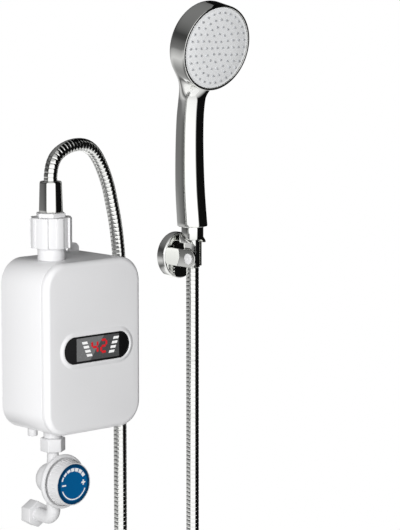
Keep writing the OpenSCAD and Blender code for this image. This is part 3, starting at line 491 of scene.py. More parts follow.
def plated(name, colour, rough=(0.035, 0.075)):
    """Bright plating with a trace of polish marks."""
    shades = (0.35, 0.97), (0.65, 1.02)
    polish = ((500, 2), 0.006, 0.0001)
    return clouded(name, colour, (35, 3), shades, (240, 5), rough, polish, {"Metallic": 1})


def metal(name, colour):
    """Plain worked metal with fine marks."""
    marks, shades = (420, 6), ((0.3, 0.85), (0.7, 1.1))
    return clouded(name, colour, marks, shades, marks, (0.25, 0.4), (marks, 0.05, 0.0001), {"Metallic": 1})


def soft_rubber(name, colour):
    """Dull rubber with a little dust."""
    dust, shades = (300, 5), ((0.35, 0.8), (0.7, 1.25))
    return clouded(name, colour, dust, shades, dust, (0.65, 0.85), (dust, 0.15, 0.0002), {})


def lens_black():
    """Smoked clear plastic over a black print, paler to the left."""
    look, tree, shader, coords = new_look("smoked_lens")
    right = between(tree, part(tree, coords, "X"), -0.04, 0.045)
    feed(tree, shader, {
        "Base Color": tint(tree, right, (0.0, (0.018, 0.018, 0.019)), (1.0, (0.007, 0.007, 0.007))),
        "Roughness": gloss(tree, coords, (200, 3), 0.05, 0.1),
        "Specular IOR Level": 0.35,
    })
    return look


def screen_painted_reflection():
    """The unlit screen behind the lens, with a painted reflection that makes its upper left half paler."""
    look, tree, shader, coords = new_look("screen_painted_reflection")
    left = add(tree, "Math", {0: part(tree, coords, "X"), 1: -1}, "MULTIPLY")
    slope = add(tree, "Math", {0: part(tree, coords, "Z"), 1: 0.78, 2: left}, "MULTIPLY_ADD")
    # The paler side of this slanted edge is a painted reflection on the screen.
    half = between(tree, slope, -0.0041, -0.0035)
    feed(tree, shader, {
        "Base Color": tint(tree, half, (0.0, (0.085, 0.086, 0.088)), (1.0, (0.2, 0.202, 0.205))),
        "Roughness": gloss(tree, coords, (300, 3), 0.2, 0.3),
    })
    return look


def glowing(name, colour, strength):
    """A lit mark on the display."""
    look, tree, shader, coords = new_look(name)
    glow = tint(tree, grain(tree, coords, 500, 2), (0.3, shade(colour, 0.86)), (0.7, colour))
    lit = {"Base Color": glow, "Emission Color": glow, "Emission Strength": strength, "Roughness": 0.35}
    feed(tree, shader, lit)
    return look


def dial_blue(colour):
    """Printed blue, deeper towards the rim."""
    look, tree, shader, coords = new_look("dial_blue")
    middle = (PIPE_X * MM, -DIAL_P * MM, VALVE_Z * MM)
    away = add(tree, "VectorMath", {0: coords, 1: middle}, "SUBTRACT")
    reach = add(tree, "VectorMath", {0: away}, "LENGTH", "Value")
    rim = between(tree, reach, DIAL_BLUE_R * MM, DIAL_DEEP_R * MM)
    feed(tree, shader, {
        "Base Color": tint(tree, rim, (0.0, colour), (1.0, shade(colour, 0.42))),
        "Specular IOR Level": 0.06,
        "Roughness": gloss(tree, coords, (400, 3), 0.45, 0.55),
        "Normal": relief(tree, coords, (1400, 2), 0.04, 0.0001),
    })
    return look


LOOKS = {}


def looks():
    """All finishes, made once."""
    if LOOKS:
        return LOOKS
    colours = bpy.context.scene.heater_colours
    white, chrome = tuple(colours.white), tuple(colours.chrome)
    LOOKS.update({
        "casing": moulded("casing_white", white),
        "fitting": moulded("fitting_white", shade(white, 0.9), (0.34, 0.42), 0.1),
        # The valve's white is the fitting white made darker: painted shade on the valve's parts.
        "valve": moulded("valve_white_painted_shade", shade(white, 0.82), (0.34, 0.42), 0.1),
        "chrome": plated("bright_chrome", chrome),
        "hose": plated("hose_chrome", shade(chrome, 0.98), (0.06, 0.11)),
        "steel": metal("plain_steel", (0.6, 0.6, 0.61)),
        "element": metal("heated_steel", (0.4, 0.37, 0.35)),
        "brass": metal("turned_brass", (0.72, 0.56, 0.27)),
        "rubber": soft_rubber("black_rubber", (0.035, 0.035, 0.035)),
        "nozzle": soft_rubber("nozzle_rubber", (0.42, 0.43, 0.45)),
        "ivory": moulded("ivory_plastic", (0.78, 0.75, 0.68), (0.4, 0.5), 0.0),
        "dark": moulded("dark_plastic", (0.04, 0.04, 0.045), (0.4, 0.5), 0.0),
        "board": moulded("board_green", (0.03, 0.17, 0.07), (0.3, 0.4), 0.2, 0.12),
        "filter": moulded("filter_grey", (0.42, 0.42, 0.42), (0.5, 0.6), 0.0),
        "face": moulded("spray_face", (0.9, 0.91, 0.92), (0.3, 0.4), 0.1),
        "lens": lens_black(),
        "screen": screen_painted_reflection(),
        "print": moulded("white_print", (0.86, 0.86, 0.87), (0.4, 0.5), 0.0),
        "bars": glowing("lit_bars", (0.9, 0.9, 0.9), 0.25),
        "digits": glowing("lit_digits", tuple(colours.digits), 0.22),
        "dial": dial_blue(tuple(colours.dial)),
    })
    return LOOKS


# Casing: the screw wells in its back, and the hanging ear on its top with a hole.
WELL_X, WELL_Z, WELL_R, WELL_DEPTH = 47, 72, 3.6, 34
EAR_X, EAR_HALF, EAR_THICK, EAR_UP, EAR_SUNK = 23, 15, 3, 8.5, 4
HOLE_UP, HOLE_R = 3, 2.3
# The plates that the rim and the lens's seat start from, as width, height and depth, and their steps.
RIM, RIM_HEIGHT = (94.5, 37, 71), 1.5
RIM_STEPS = (0, -1.05), (0.7, -0.2), (1.8, -1.0), (0.6, -0.2), (0.6, -0.05)
SEAT = (85.6, 28.1, 74)
SEAT_STEPS = (0, 0.55), (0.3, 0.15), (0.15, 0.3), (0, 1.7)


def shell(sizes):
    """The shell behind the seam, with its ear."""
    top = COVER_HIGH[2]
    obj = block((COVER_LOW[0], SEAM_Y, COVER_LOW[2]), (COVER_HIGH[0], 0, top))
    round_edges(obj, along(1), sizes.corner, 16)
    round_edges(obj, at(1, SEAM_Y), sizes.seam, 3)
    round_edges(obj, at(1, 0), 1.2 * MM, 3)
    for x in (-WELL_X, WELL_X):
        for z in (-WELL_Z, WELL_Z):
            carve(obj, outward([(WELL_R, -1), (WELL_R, WELL_DEPTH)], x, z, 32))
    ear = block((EAR_X - EAR_HALF, -EAR_THICK, top - EAR_SUNK), (EAR_X + EAR_HALF, 0, top + EAR_UP))
    round_edges(ear, lambda e: along(1)(e) and e.verts[0].co.z > top * MM, 6 * MM, 8)
    carve(ear, outward([(HOLE_R, -1), (HOLE_R, 5)], EAR_X, top + HOLE_UP, 32))
    return join(obj, soften(ear, 0.4, 2))


def cover(sizes):
    """The cover in front of the seam, with the raised rim and the lens's seat."""
    face = COVER_LOW[1] + RIM_HEIGHT
    obj = block((COVER_LOW[0], face, COVER_LOW[2]), (COVER_HIGH[0], SEAM_Y, COVER_HIGH[2]))
    round_edges(obj, along(1), sizes.corner, 16)
    round_edges(obj, at(1, face), sizes.front_edge, 8)
    round_edges(obj, at(1, SEAM_Y), sizes.seam, 3)
    carve(obj, push(stadium(*RIM), *RIM_STEPS), "UNION")
    carve(obj, push(stadium(*SEAT), *SEAT_STEPS))
    return obj


class HEATER_OT_casing(bpy.types.Operator):
    """Rear shell with its hanging ear and screw wells, and the front cover with the rim round its display"""

    bl_idname = "heater.casing"
    bl_label = "Casing"

    def execute(self, context):
        sizes = context.scene.heater_casing
        place(shell(sizes), "casing_shell", "heater", "casing", "white_gloss", "rear_shell")
        place(cover(sizes), "casing_cover", "heater", "casing", "white_gloss", "front_cover")
        return {"FINISHED"}


# Display: the lens, and the screen's four sides from the display's middle.
LENS = (84.5, 27)
SCREEN_LEFT, SCREEN_RIGHT, SCREEN_LOW, SCREEN_HIGH = -26.3, 28.6, -11.4, 11.6
# Two rows of four slanted bars: which way they lean, and the places of the first and the last bar.
BAR_ROWS = (1, -15.2, 6.4, -9.4, -6.4), (-1, 24.2, 7.7, 18.4, -5.7)
BAR_HALF_WIDE, BAR_HALF_TALL, BAR_LEAN = 3.4, 1.3, 1.1
# Each digit's middle and lit strokes, the digits' height, and each stroke's place and if it stands upright.
DIGITS, DIGITS_UP = ((-2.9, "bcfg"), (8.6, "abged")), 1.0
STROKES = {"a": (0, 6, 0), "d": (0, -6, 0), "g": (0, 0, 0), "f": (-3.4, 3, 1), "b": (3.4, 3, 1),
           "e": (-3.4, -3, 1), "c": (3.4, -3, 1)}
STROKE_FLAT, STROKE_TALL, STROKE_WIDE = 5.75, 4.95, 2.8


def bar(lean, x, z):
    """One slanted bar."""
    obj = block((x - BAR_HALF_WIDE, 0.02 - DISPLAY_P, z - BAR_HALF_TALL),
                (x + BAR_HALF_WIDE, 0.15 - DISPLAY_P, z + BAR_HALF_TALL))
    open_mesh(obj)
    pick("VERT", lambda v: v.co.z > z * MM)
    shift(-lean * BAR_LEAN, 0, 0)
    close_mesh()
    return obj


def stroke(x, z, tall):
    """One stroke of a digit, a flat hexagon."""
    obj = disc(STROKE_WIDE / 2, sides=6, turn=30)
    stretch(obj, ((STROKE_TALL if tall else STROKE_FLAT) - STROKE_WIDE) / 2, 0.05 * STROKE_WIDE)
    return push(stand(obj, (x, -DISPLAY_P, z), (90, 90 * tall, 0)), (0, 0.12))


class HEATER_OT_display(bpy.types.Operator):
    """Smoked lens with its screen, level bars and two plain digits"""

    bl_idname = "heater.display"
    bl_label = "Display"

    def execute(self, context):
        x, p, z = DISPLAY_X, DISPLAY_P, DISPLAY_Z
        lens = soften(push(stadium(*LENS, p - 0.1), (0, 1.1)), 0.3)
        place(lens, "display_window", "heater", "lens", "black_lens", "display_lens")
        screen = block((x + SCREEN_LEFT, 0.06 - p, z + SCREEN_LOW),
                       (x + SCREEN_RIGHT, 0.2 - p, z + SCREEN_HIGH))
        round_edges(screen, along(1), 0.6 * MM, 3)
        place(screen, "display_screen", "heater", "screen", "black_lens")
        bars = [bar(lean, x + xa + (xb - xa) * k / 3, z + za + (zb - za) * k / 3)
                for lean, xa, za, xb, zb in BAR_ROWS for k in range(4)]
        place(join(*bars), "display_bars", "heater", "bars", "white_gloss")
        strokes = [stroke(x + middle + dx, z + DIGITS_UP + dz, tall)
                   for middle, lit in DIGITS for dx, dz, tall in map(STROKES.get, lit)]
        place(join(*strokes), "display_digits", "heater", "digits", "black_lens")
        return {"FINISHED"}


# Coupling nut: its lobes, the radius of its ring, how far a lobe stands out, and its heights.
LOBES, RING_R, LOBE_OUT, NUT_LOW, NUT_HIGH = 8, 19.3, 1.7, 98.5, 128.5


def coupling():
    """Narrow lobes pulled out of a plain ring, with rounded edges."""
    nut = rod(72, RING_R, NUT_LOW, NUT_HIGH, turn=2.5)
    open_mesh(nut)

    def on_lobe(face):
        centre = face.calc_center_median()
        angle = math.degrees(math.atan2(centre.y, centre.x)) % (360 / LOBES)
        return abs(face.normal.z) < 0.1 and 22.5 < angle < 42.5

    pick("FACE", on_lobe)
    swell(LOBE_OUT)
    close_mesh()
    return stand(soften(nut, 0.6, 3, 30), (PIPE_X, -PIPE_P, 0))


class HEATER_OT_outlet(bpy.types.Operator):
    """Outlet collar, lobed coupling nut, hexagonal adapter and chrome hose nut"""

    bl_idname = "heater.outlet"
    bl_label = "Outlet"

    def execute(self, context):
        white = "heater", "fitting", "white_gloss"
        collar = upright([(13.3, 86), (13.6, 86.4), (13.6, 97.6), (13.3, 98.2), (12.4, 98.5), (12.4, 111.9)],
                         PIPE_X, PIPE_P)
        place(collar, "outlet_collar", *white, "outlet_spout")
        place(coupling(), "coupling_nut", *white, "outlet_coupling_nut")
        flange = hexagon(PIPE_X, PIPE_P, NUT_HIGH, 133, 15.5, 30, 0.8)
        stem = upright([(9.9, 131), (9.9, 148.9)], PIPE_X, PIPE_P, 48)
        place(join(flange, stem), "adapter", *white, "hose_adapter")
        nut = upright([(11.0, 133), (11.6, 133.2), (11.9, 133.8), (11.8, 136), (11.0, 162.2), (10.7, 163.4),
                       (10.2, 163.95), (8.2, 164), (7.4, 163.4), (7.3, 155)], PIPE_X, PIPE_P, 96)
        place(nut, "hose_nut_lower", "heater", "chrome", "chrome_plating", "hose_nut_heater")
        return {"FINISHED"}


# Valve pipe: its top, its radius there and at the elbow, the elbow's bend, and the run to the supply nut.
PIPE_TOP, PIPE_R, ELBOW_R, BEND, SUPPLY_RUN = -103, 5.5, 7, 10, 18
# Knob: its radius at the back and the front, its depths from the wall, the flutes' end and depth.
KNOB_BACK_R, KNOB_FRONT_R, KNOB_BACK, KNOB_FRONT = 23, 21.2, 57, 70.2
FLUTE_END, FLUTE_DEEP = 67.4, 0.9
# Dial's marks: their depth from the wall and thickness, the row of level marks by number, angles and radius,
# the lower arc by angles and radii, and the minus and the plus as place, width and height.
MARK_P, MARK_THICK = 70.36, 0.08
MARKS, MARK_START, MARK_STEP, MARK_ARC, MARK_R = 7, 162, 19.8, 15.8, 16.4
LOWER_ARC = (200, 338, 14.7, 15.9)
SIGNS = ((-12.5, 0.2, 5.2, 1.5), (12.2, 0.4, 5.2, 1.5), (12.2, 2.075, 1.5, 1.85),
         (12.2, -1.275, 1.5, 1.85))


def barrel():
    """The barrel out of the wall, and one pipe spun round the elbow."""
    obj = outward([(6, 24), (9, 24.2), (11.5, 25.2), (13.4, 26.8), (14.8, 29), (15.4, 31.5), (15.5, 34),
                   (15.5, 49.4), (15, 50), (11, 50)], PIPE_X, VALVE_Z)
    pipe = disc(PIPE_R, (PIPE_X, -PIPE_P, PIPE_TOP), 40)
    bend_z = ELBOW_Z + BEND
    open_mesh(pipe)
    pick_all()
    pull(0, 0, VALVE_Z - PIPE_TOP)
    widen(ELBOW_R / PIPE_R, ELBOW_R / PIPE_R, (PIPE_X, -PIPE_P, VALVE_Z))
    pull(0, 0, bend_z - VALVE_Z)
    bpy.ops.mesh.spin(steps=14, angle=math.radians(-90), axis=(1, 0, 0),
                      center=(PIPE_X * MM, (BEND - PIPE_P) * MM, bend_z * MM))
    pull(0, SUPPLY_RUN, 0)
    face_out(0.01)
    return join(obj, pipe)


def knob():
    """A tapered cap whose grip is cut by narrow flutes."""
    obj = rod(144, KNOB_BACK_R, KNOB_BACK, KNOB_FRONT)
    taper = KNOB_FRONT_R / KNOB_BACK_R
    open_mesh(obj)
    pick("FACE", lambda f: f.normal.z > 0.9)
    widen(taper, taper, (0, 0, KNOB_FRONT))
    bpy.ops.mesh.inset(thickness=0.8 * MM, depth=0)
    pull(0, 0, -0.9)
    pick("FACE", lambda f: f.normal.z < -0.9)
    bpy.ops.mesh.inset(thickness=3 * MM, depth=0)
    pull(0, 0, 5)

    def on_grip(face):
        centre = face.calc_center_median()
        return abs(face.normal.z) < 0.4 and math.hypot(centre.x, centre.y) > 20.8 * MM

    pick("FACE", on_grip)
    bpy.ops.mesh.bisect(plane_co=(0, 0, FLUTE_END * MM), plane_no=(0, 0, 1))

    def in_flute(face):
        centre = face.calc_center_median()
        step = int((math.degrees(math.atan2(centre.y, centre.x)) % 360) / 2.5)
        return on_grip(face) and centre.z < (FLUTE_END - 0.1) * MM and step % 4 < 2

    pick("FACE", in_flute)
    swell(-FLUTE_DEEP)
    face_out()
    return stand(obj, (PIPE_X, 0, VALVE_Z), (90, 0, 0))


def arc(start, stop, inner, outer):
    """A flat piece of a ring, in degrees and mm, spun from one edge of a plane."""
    calm()
    bpy.ops.mesh.primitive_plane_add(size=1)
    piece = bpy.context.object
    open_mesh(piece)
    pick("VERT", lambda v: v.co.y < 0)
    bpy.ops.mesh.delete(type="VERT")
    pick_all()
    widen((outer - inner) * MM, 1, (0, 0, 0))
    shift((outer + inner) / 2, -0.5 / MM, 0)
    bpy.ops.transform.rotate(value=-math.radians(start), orient_axis="Z", center_override=(0, 0, 0))
    bpy.ops.mesh.spin(steps=max(3, int(abs(stop - start) / 4)), angle=math.radians(start - stop),
                      axis=(0, 0, 1), center=(0, 0, 0))
    pick_all()
    pull(0, 0, MARK_THICK)
    face_out()
    return piece


def marks():
    """A wedge of level marks, a thin lower arc, and a minus and a plus."""
    parts = [arc(*LOWER_ARC)]
    for k in range(MARKS):
        start = MARK_START - k * MARK_STEP
        width = 1.6 + 2.0 * min(1, k / 3.5)
        parts.append(arc(start - MARK_ARC, start, MARK_R - width, MARK_R))
    for x, z, wide, tall in SIGNS:
        parts.append(block((x - wide / 2, z - tall / 2, 0), (x + wide / 2, z + tall / 2, MARK_THICK)))
    return stand(join(*parts), (PIPE_X, -MARK_P, VALVE_Z), (90, 0, 0))


class HEATER_OT_valve(bpy.types.Operator):
    """Inlet collar and nut, gland, valve barrel with its elbow, bonnet, fluted knob, dial and supply nut"""

    bl_idname = "heater.valve"
    bl_label = "Flow valve"

    def execute(self, context):
        # The valve's pieces take the darker valve white, which paints shade onto them.
        white = "heater", "valve", "white_gloss"
        gland = upright([(5, -85.1), (5, -92.1), (4.6, -92.9), (3.6, -93.2), (3, -92.8), (3, -87)],
                        -37.5, 19, 40)
        place(gland, "gland", *white, "cable_gland")
        collar = upright([(9.3, -86), (9.3, -92.8), (8.7, -93.4), (8.2, -93.5), (8.2, -101)],
                         PIPE_X, PIPE_P, 56)
        place(collar, "inlet_collar", *white, "inlet_spout")
        nut = hexagon(PIPE_X, PIPE_P, -107, -93.4, 12.8, 0)
        place(nut, "inlet_nut", *white, "inlet_union_nut")
        place(barrel(), "valve_barrel", *white, "valve_body")
        bonnet = outward([(24.2, 50), (26.2, 50.6), (27.2, 51.8), (27.5, 53.2), (27.2, 54.8), (26.3, 55.7),
                          (25.4, 56), (24.6, 55.9), (24.3, 55.4), (24.2, 53.4), (9, 53.4), (8.4, 53)],
                         PIPE_X, VALVE_Z, 96)
        place(bonnet, "bonnet_ring", *white, "valve_bonnet")
        place(knob(), "grip_knob", "knob", "valve", "white_gloss", "flow_knob")
        plate = outward([(20.2, 69.3), (20.3, 69.6), (20.3, 70.2), (20.0, 70.42), (19.6, 70.4),
                         (18.6, 70.3)], PIPE_X, VALVE_Z, 96)
        place(plate, "dial_plate", "knob", "dial", "dial_blue", "knob_dial")
        place(marks(), "dial_marks", "knob", "print", "white_gloss")
        nut = hexagon(0, 0, 0.5, 14, 13.6, 0)
        carve(nut, upright([(10.2, -1), (10.2, 7.5)], 0, 0, 40))
        stand(nut, (PIPE_X, 0, ELBOW_Z), (90, 0, 0))
        place(nut, "supply_nut", *white, "supply_union_nut")
        return {"FINISHED"}


# One rib of the hose: how far along the pitch, and how deep in the groove, as shares.
RIB = (0.0, 1.0), (0.07, 0.9), (0.16, 0.12), (0.30, 0.0), (0.74, 0.0), (0.90, 0.12)


def tube(name, line, sizes):
    """A tube with a wound strip's ribs, its ends closed."""
    runs = [0.0]
    for a, b in zip(line, line[1:]):
        runs.append(runs[-1] + (b - a).length)
    total = runs[-1]
    ribs = max(1, round(total / sizes.pitch))
    pitch = total / ribs
    stops = [((k + share) * pitch, sizes.radius - deep * sizes.groove)
             for k in range(ribs) for share, deep in RIB]
    stops.append((total, sizes.radius - sizes.groove))
    points, faces, sides, leg = [], [], sizes.sides, 0
    for run, radius in stops:
        while leg < len(runs) - 2 and runs[leg + 1] < run:
            leg += 1
        share = (run - runs[leg]) / max(1e-9, runs[leg + 1] - runs[leg])
        centre = line[leg].lerp(line[leg + 1], share)
        ahead = (line[min(len(line) - 1, leg + 2)] - line[max(0, leg - 1)]).normalized()
        across = ahead.cross(Vector((0, 1, 0))).normalized()
        over = ahead.cross(across)
        for k in range(sides):
            turn = math.tau * k / sides
            points.append(centre + radius * (math.cos(turn) * across + math.sin(turn) * over))
    for ring in range(0, len(points) - sides, sides):
        for k in range(sides):
            here, beside = ring + k, ring + (k + 1) % sides
            faces.append((here, here + sides, beside + sides, beside))
    faces.append(range(sides))
    faces.append(range(len(points) - 1, len(points) - sides - 1, -1))
    obj = skin(name, points, faces)
    open_mesh(obj)
    face_out()
    bpy.ops.object.shade_smooth_by_angle(angle=math.radians(50))
    return obj


class HEATER_OT_hose(bpy.types.Operator):
    """Ribbed shower hose, hung in one loop from the heater to the hand shower's sleeve"""

    bl_idname = "heater.hose"
    bl_label = "Hose"

    def execute(self, context):
        main = flow([Vector(p) for p in HOSE_ROUTE])
        low, high = Vector(HOSE_ROUTE[-1]), Vector(HOSE_TOP)
        upper = [low.lerp(high, k / 40) for k in range(41)]
        sizes = context.scene.heater_hose
        body = tube("shower_hose", main, sizes)
        top = tube("shower_hose_upper", upper, sizes)
        for obj in (body, top):
            obj.data.materials.append(looks()["hose"])
        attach(body, "heater")
        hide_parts("hose_main")
        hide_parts("hose_upper")
        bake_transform(top)
        return {"FINISHED"}


# Bracket: its pivot, the arm's round end, and the arm's sides and back from the hose's axis and the wall.
PIVOT_P, PIVOT_Z = 37.5, 69.7
ARM_R, ARM_LEFT, ARM_RIGHT, ARM_BACK = 9.25, 13.7, 10.2, 9.5
# Cradle: half the width of its channel inside and outside, its foot, the cup's seat and its top.
INSIDE, OUTSIDE, FOOT, CUP_SEAT, CUP_TOP = 7.9, 9.9, 60.2, 85.5, 95


def cradle():
    """A channel open to the front under a cup with a slot."""
    obj = upright([(OUTSIDE, FOOT), (OUTSIDE, CUP_SEAT), (13.6, CUP_SEAT), (14, 86), (14, 94.6),
                   (13.6, CUP_TOP), (12.4, CUP_TOP), (11.9, 94.5), (11.9, 88.5)], HANG_X, HANG_P)
    carve(obj, block((HANG_X - OUTSIDE, -42, FOOT), (HANG_X + OUTSIDE, -HANG_P, 88.4)), "UNION")
    carve(obj, upright([(INSIDE, 50), (INSIDE, 100)], HANG_X, HANG_P, 48))
    carve(obj, block((HANG_X - INSIDE, -60, 50), (HANG_X + INSIDE, -HANG_P, 100)))
    carve(obj, block((HANG_X, -60, 50), (HANG_X + 30, -HANG_P - 3.5, CUP_SEAT)))
    front = block((-20, -40, -40), (20, 0, 50))
    carve(obj, stand(front, (HANG_X, 6 - HANG_P, CUP_TOP), (-58.5, 0, 0)))
    return soften(obj, 0.5, 3, 35)


class HEATER_OT_bracket(bpy.types.Operator):
    """Wall bracket: round base with its arm, swinging cradle with its cup, and pivot cap"""

    bl_idname = "heater.bracket"
    bl_label = "Bracket"

    def execute(self, context):
        base = outward([(23.4, 0), (24.5, 0.3), (24.5, 8.2), (24.1, 9.5), (23.2, 10.3), (22, 10.5),
                        (8, 10.4)], HANG_X, PIVOT_Z, 96)
        arm = block((HANG_X - ARM_LEFT, -PIVOT_P - ARM_R, PIVOT_Z - ARM_R),
                    (HANG_X - ARM_RIGHT, -ARM_BACK, PIVOT_Z + ARM_R))
        round_edges(arm, lambda e: along(0)(e) and e.verts[0].co.y < -30 * MM, 9.2 * MM, 12)
        join(base, soften(arm, 0.6))
        place(base, "bracket_base", "heater", "chrome", "chrome_plating", "bracket_body")
        place(cradle(), "cradle_cup", "cradle", "chrome", "chrome_plating", "cradle")
        cap = lathe([(2.9, 8.3), (2.9, 13.8), (5.3, 13.85), (5.75, 14.2), (5.7, 14.8), (5.2, 15.25),
                     (4, 15.4), (1.4, 15.4), (1.2, 15.2), (1.1, 14.6)], 48)
        stand(cap, (HANG_X, -PIVOT_P, PIVOT_Z), (0, -90, 0))
        place(cap, "pivot_cap", "cradle", "fitting", "steel", "pivot_screw")
        return {"FINISHED"}


# Handle: its foot, and its sections: height above the foot, depth from the axis, half width, half depth.
HANDLE_Z, HANDLE_SIDES = 102.5, 64
HANDLE = ((0, 0, 15.8, 15.8), (38, -3.5, 15.4, 15.4), (78, -4.5, 14.7, 14.7), (112, -3.5, 14.2, 14.2),
          (132, -0.8, 14.3, 13.9), (146, 2, 15.2, 14.6))
# Head: its middle and tilt, and its outline as (radius, height) pairs from the back to the front edge.
HEAD, HEAD_TILT = Vector((HANG_X, -66.5, 289.5)), 102
BACK = [(6, -30.3), (14, -30.2)]
DOME = [(44.9 - 19.7 * (1 - math.cos(math.radians(a))), -21 - 9 * math.sin(math.radians(a)))
        for a in range(90, 0, -6)]
DRUM = [(45, height) for height in (-20.5, -17, -13, -9, -5, -0.7)]
EDGE = [(44.9, -0.43), (44.65, -0.27), (44.3, -0.22), (43.1, -0.24), (42.8, -0.42), (42.6, -1.0),
        (42.5, -4.2)]
# Where the neck meets the head: half its angle, and its reach behind and before the drum's back edge.
NECK_SPREAD, NECK_BACK, NECK_FRONT = math.radians(56), -25, 13.5
# How straight the neck leaves the handle and runs out on the head, as shares of its length.
NECK_LEAVE, NECK_MEET = 0.9, 0.7
# Nozzles: the rings round the middle one, and the distance from ring to ring.
RINGS, RING_STEP = 5, 7.4


def tilt(obj):
    """Brings a piece of the head, made flat, to its place."""
    return stand(obj, HEAD, (HEAD_TILT, 0, 0))


def handle():
    """The handle, drawn up section by section from one circle, with the neck on its upper end."""
    rows = [Vector(row) + Vector((HANDLE_Z, HANG_P, 0, 0)) for row in HANDLE]
    fine = flow(rows, 6)[:-6]
    fine[0:1] = [Vector((HANDLE_Z, HANG_P, 15.1, 15.1)), Vector((HANDLE_Z + 0.4, HANG_P, 15.6, 15.6)),
                 Vector((HANDLE_Z + 1.1, HANG_P - 0.05, 15.8, 15.8))]
    z, p, half, _ = fine[0]
    obj = disc(half, (HANG_X, -p, z), HANDLE_SIDES)
    open_mesh(obj)
    pick_all()
    for (za, pa, aa, ba), (zb, pb, ab, bb) in zip(fine, fine[1:]):
        pull(0, pa - pb, zb - za)
        widen(ab / aa, bb / ba, (HANG_X, -pb, zb))
    bpy.ops.mesh.delete(type="ONLY_FACE")
    close_mesh()
    join(obj, neck(fine[-2], fine[-1]))
    open_mesh(obj)
    face_out(0.001)
    return obj


def section(row, turn):
    """A point of one of the handle's sections, turned from its front."""
    z, p, a, b = row
    return Vector((HANG_X + a * math.sin(turn), -p - b * math.cos(turn), z))


def on_head(angle, run):
    """A point of the head's skin, by its angle from the lowest line and its run from the drum's back."""
    line = DRUM[:1] + DOME[::-1] + BACK[-1:]
    radius, height = line[0][0], line[0][1] + max(run, 0)
    left = max(-run, 0)
    for (ra, ha), (rb, hb) in zip(line, line[1:]):
        step = math.hypot(rb - ra, hb - ha)
        share = min(left / step, 1)
        radius += (rb - ra) * share
        height += (hb - ha) * share
        left -= step * share
    point = Vector((radius * math.sin(angle), -radius * math.cos(angle), height))
    return Matrix.Rotation(math.radians(HEAD_TILT), 3, "X") @ point + HEAD


def landing(turn, size):
    """A point of the oval on which the neck meets the head."""
    middle, half = (NECK_FRONT + NECK_BACK) / 2, (NECK_FRONT - NECK_BACK) / 2
    return on_head(NECK_SPREAD * math.sin(turn) * size, middle + half * math.cos(turn) * size)


def neck(below, top, steps=24):
    """A skin that leaves the handle along its length, runs out flat on the head and closes inside it."""
    points, faces = [], []
    rows = steps + 2
    for k in range(HANDLE_SIDES):
        turn = math.tau * k / HANDLE_SIDES
        foot, land = section(top, turn), landing(turn, 1)
        span = (land - foot).length
        leave = (foot - section(below, turn)).normalized() * span * NECK_LEAVE
        meet = (landing(turn, 1.02) - land).normalized() * span * NECK_MEET
        for i in range(steps + 1):
            t = i / steps
            points.append(MM * (foot * (1 + 2 * t) * (1 - t) ** 2 + leave * t * (1 - t) ** 2
                                + land * t * t * (3 - 2 * t) - meet * t * t * (1 - t)))
            here, beside = k * rows + i, (k + 1) % HANDLE_SIDES * rows + i
            faces.append((here, beside, beside + 1, here + 1))
        points.append(MM * land.lerp(HEAD, 0.25))
    faces.append([k * rows + rows - 1 for k in range(HANDLE_SIDES)])
    return skin("neck", points, faces)


def nozzles():
    """One soft nozzle, copied onto rings round the middle."""
    first = lathe([(1.25, -0.9), (1.15, -0.2), (0.95, 0.35), (0.6, 0.6), (0.35, 0.5), (0.3, 0.2)], 10)
    copies = [first]
    for ring in range(1, RINGS + 1):
        reach = ring * RING_STEP
        for k in range(6 * ring):
            angle = math.radians(k * 60 / ring)
            hold(first)
            bpy.ops.object.duplicate()
            copy = bpy.context.object
            copies.append(stand(copy, (reach * math.cos(angle), reach * math.sin(angle), 0)))
    return join(*copies)


class HEATER_OT_hand_shower(bpy.types.Operator):
    """Hose sleeve and nut, the lofted handle with its round head, the spray plate and its nozzles"""

    bl_idname = "heater.hand_shower"
    bl_label = "Hand shower"

    def execute(self, context):
        sleeve = upright([(7.1, 59), (7.6, 59.4), (7.6, 92), (9.9, 92.1), (9.9, 94)], HANG_X, HANG_P, 56)
        place(sleeve, "hose_ferrule", "hose_end", "chrome", "chrome_plating", "hose_sleeve")
        nut = upright([(8.2, 88.5), (10.3, 88.5), (11.2, 89), (11.5, 89.9), (11.5, 101.6), (11.2, 102.3),
                       (10.6, 102.5), (10, 102.5)], HANG_X, HANG_P, 72)
        place(nut, "hose_nut_upper", "hand_shower", "chrome", "chrome_plating", "hose_nut_handset")
        body = join(handle(), tilt(lathe(BACK + DOME + DRUM + EDGE, 128)))
        place(body, "shower_body", "hand_shower", "chrome", "chrome_plating", "handset_body")
        plate = lathe([(42.3, -4), (42.4, -1.2), (42.1, -0.85), (41.6, -0.8), (40.6, -1.0), (39.8, -1.0),
                       (39, -0.8), (20, -0.62), (6, -0.6)], 96)
        place(tilt(plate), "spray_disc", "hand_shower", "face", "spray_face", "spray_plate")
        place(tilt(nozzles()), "nozzles", "hand_shower", "nozzle", "nozzle_rubber", "spray_nozzles")
        return {"FINISHED"}


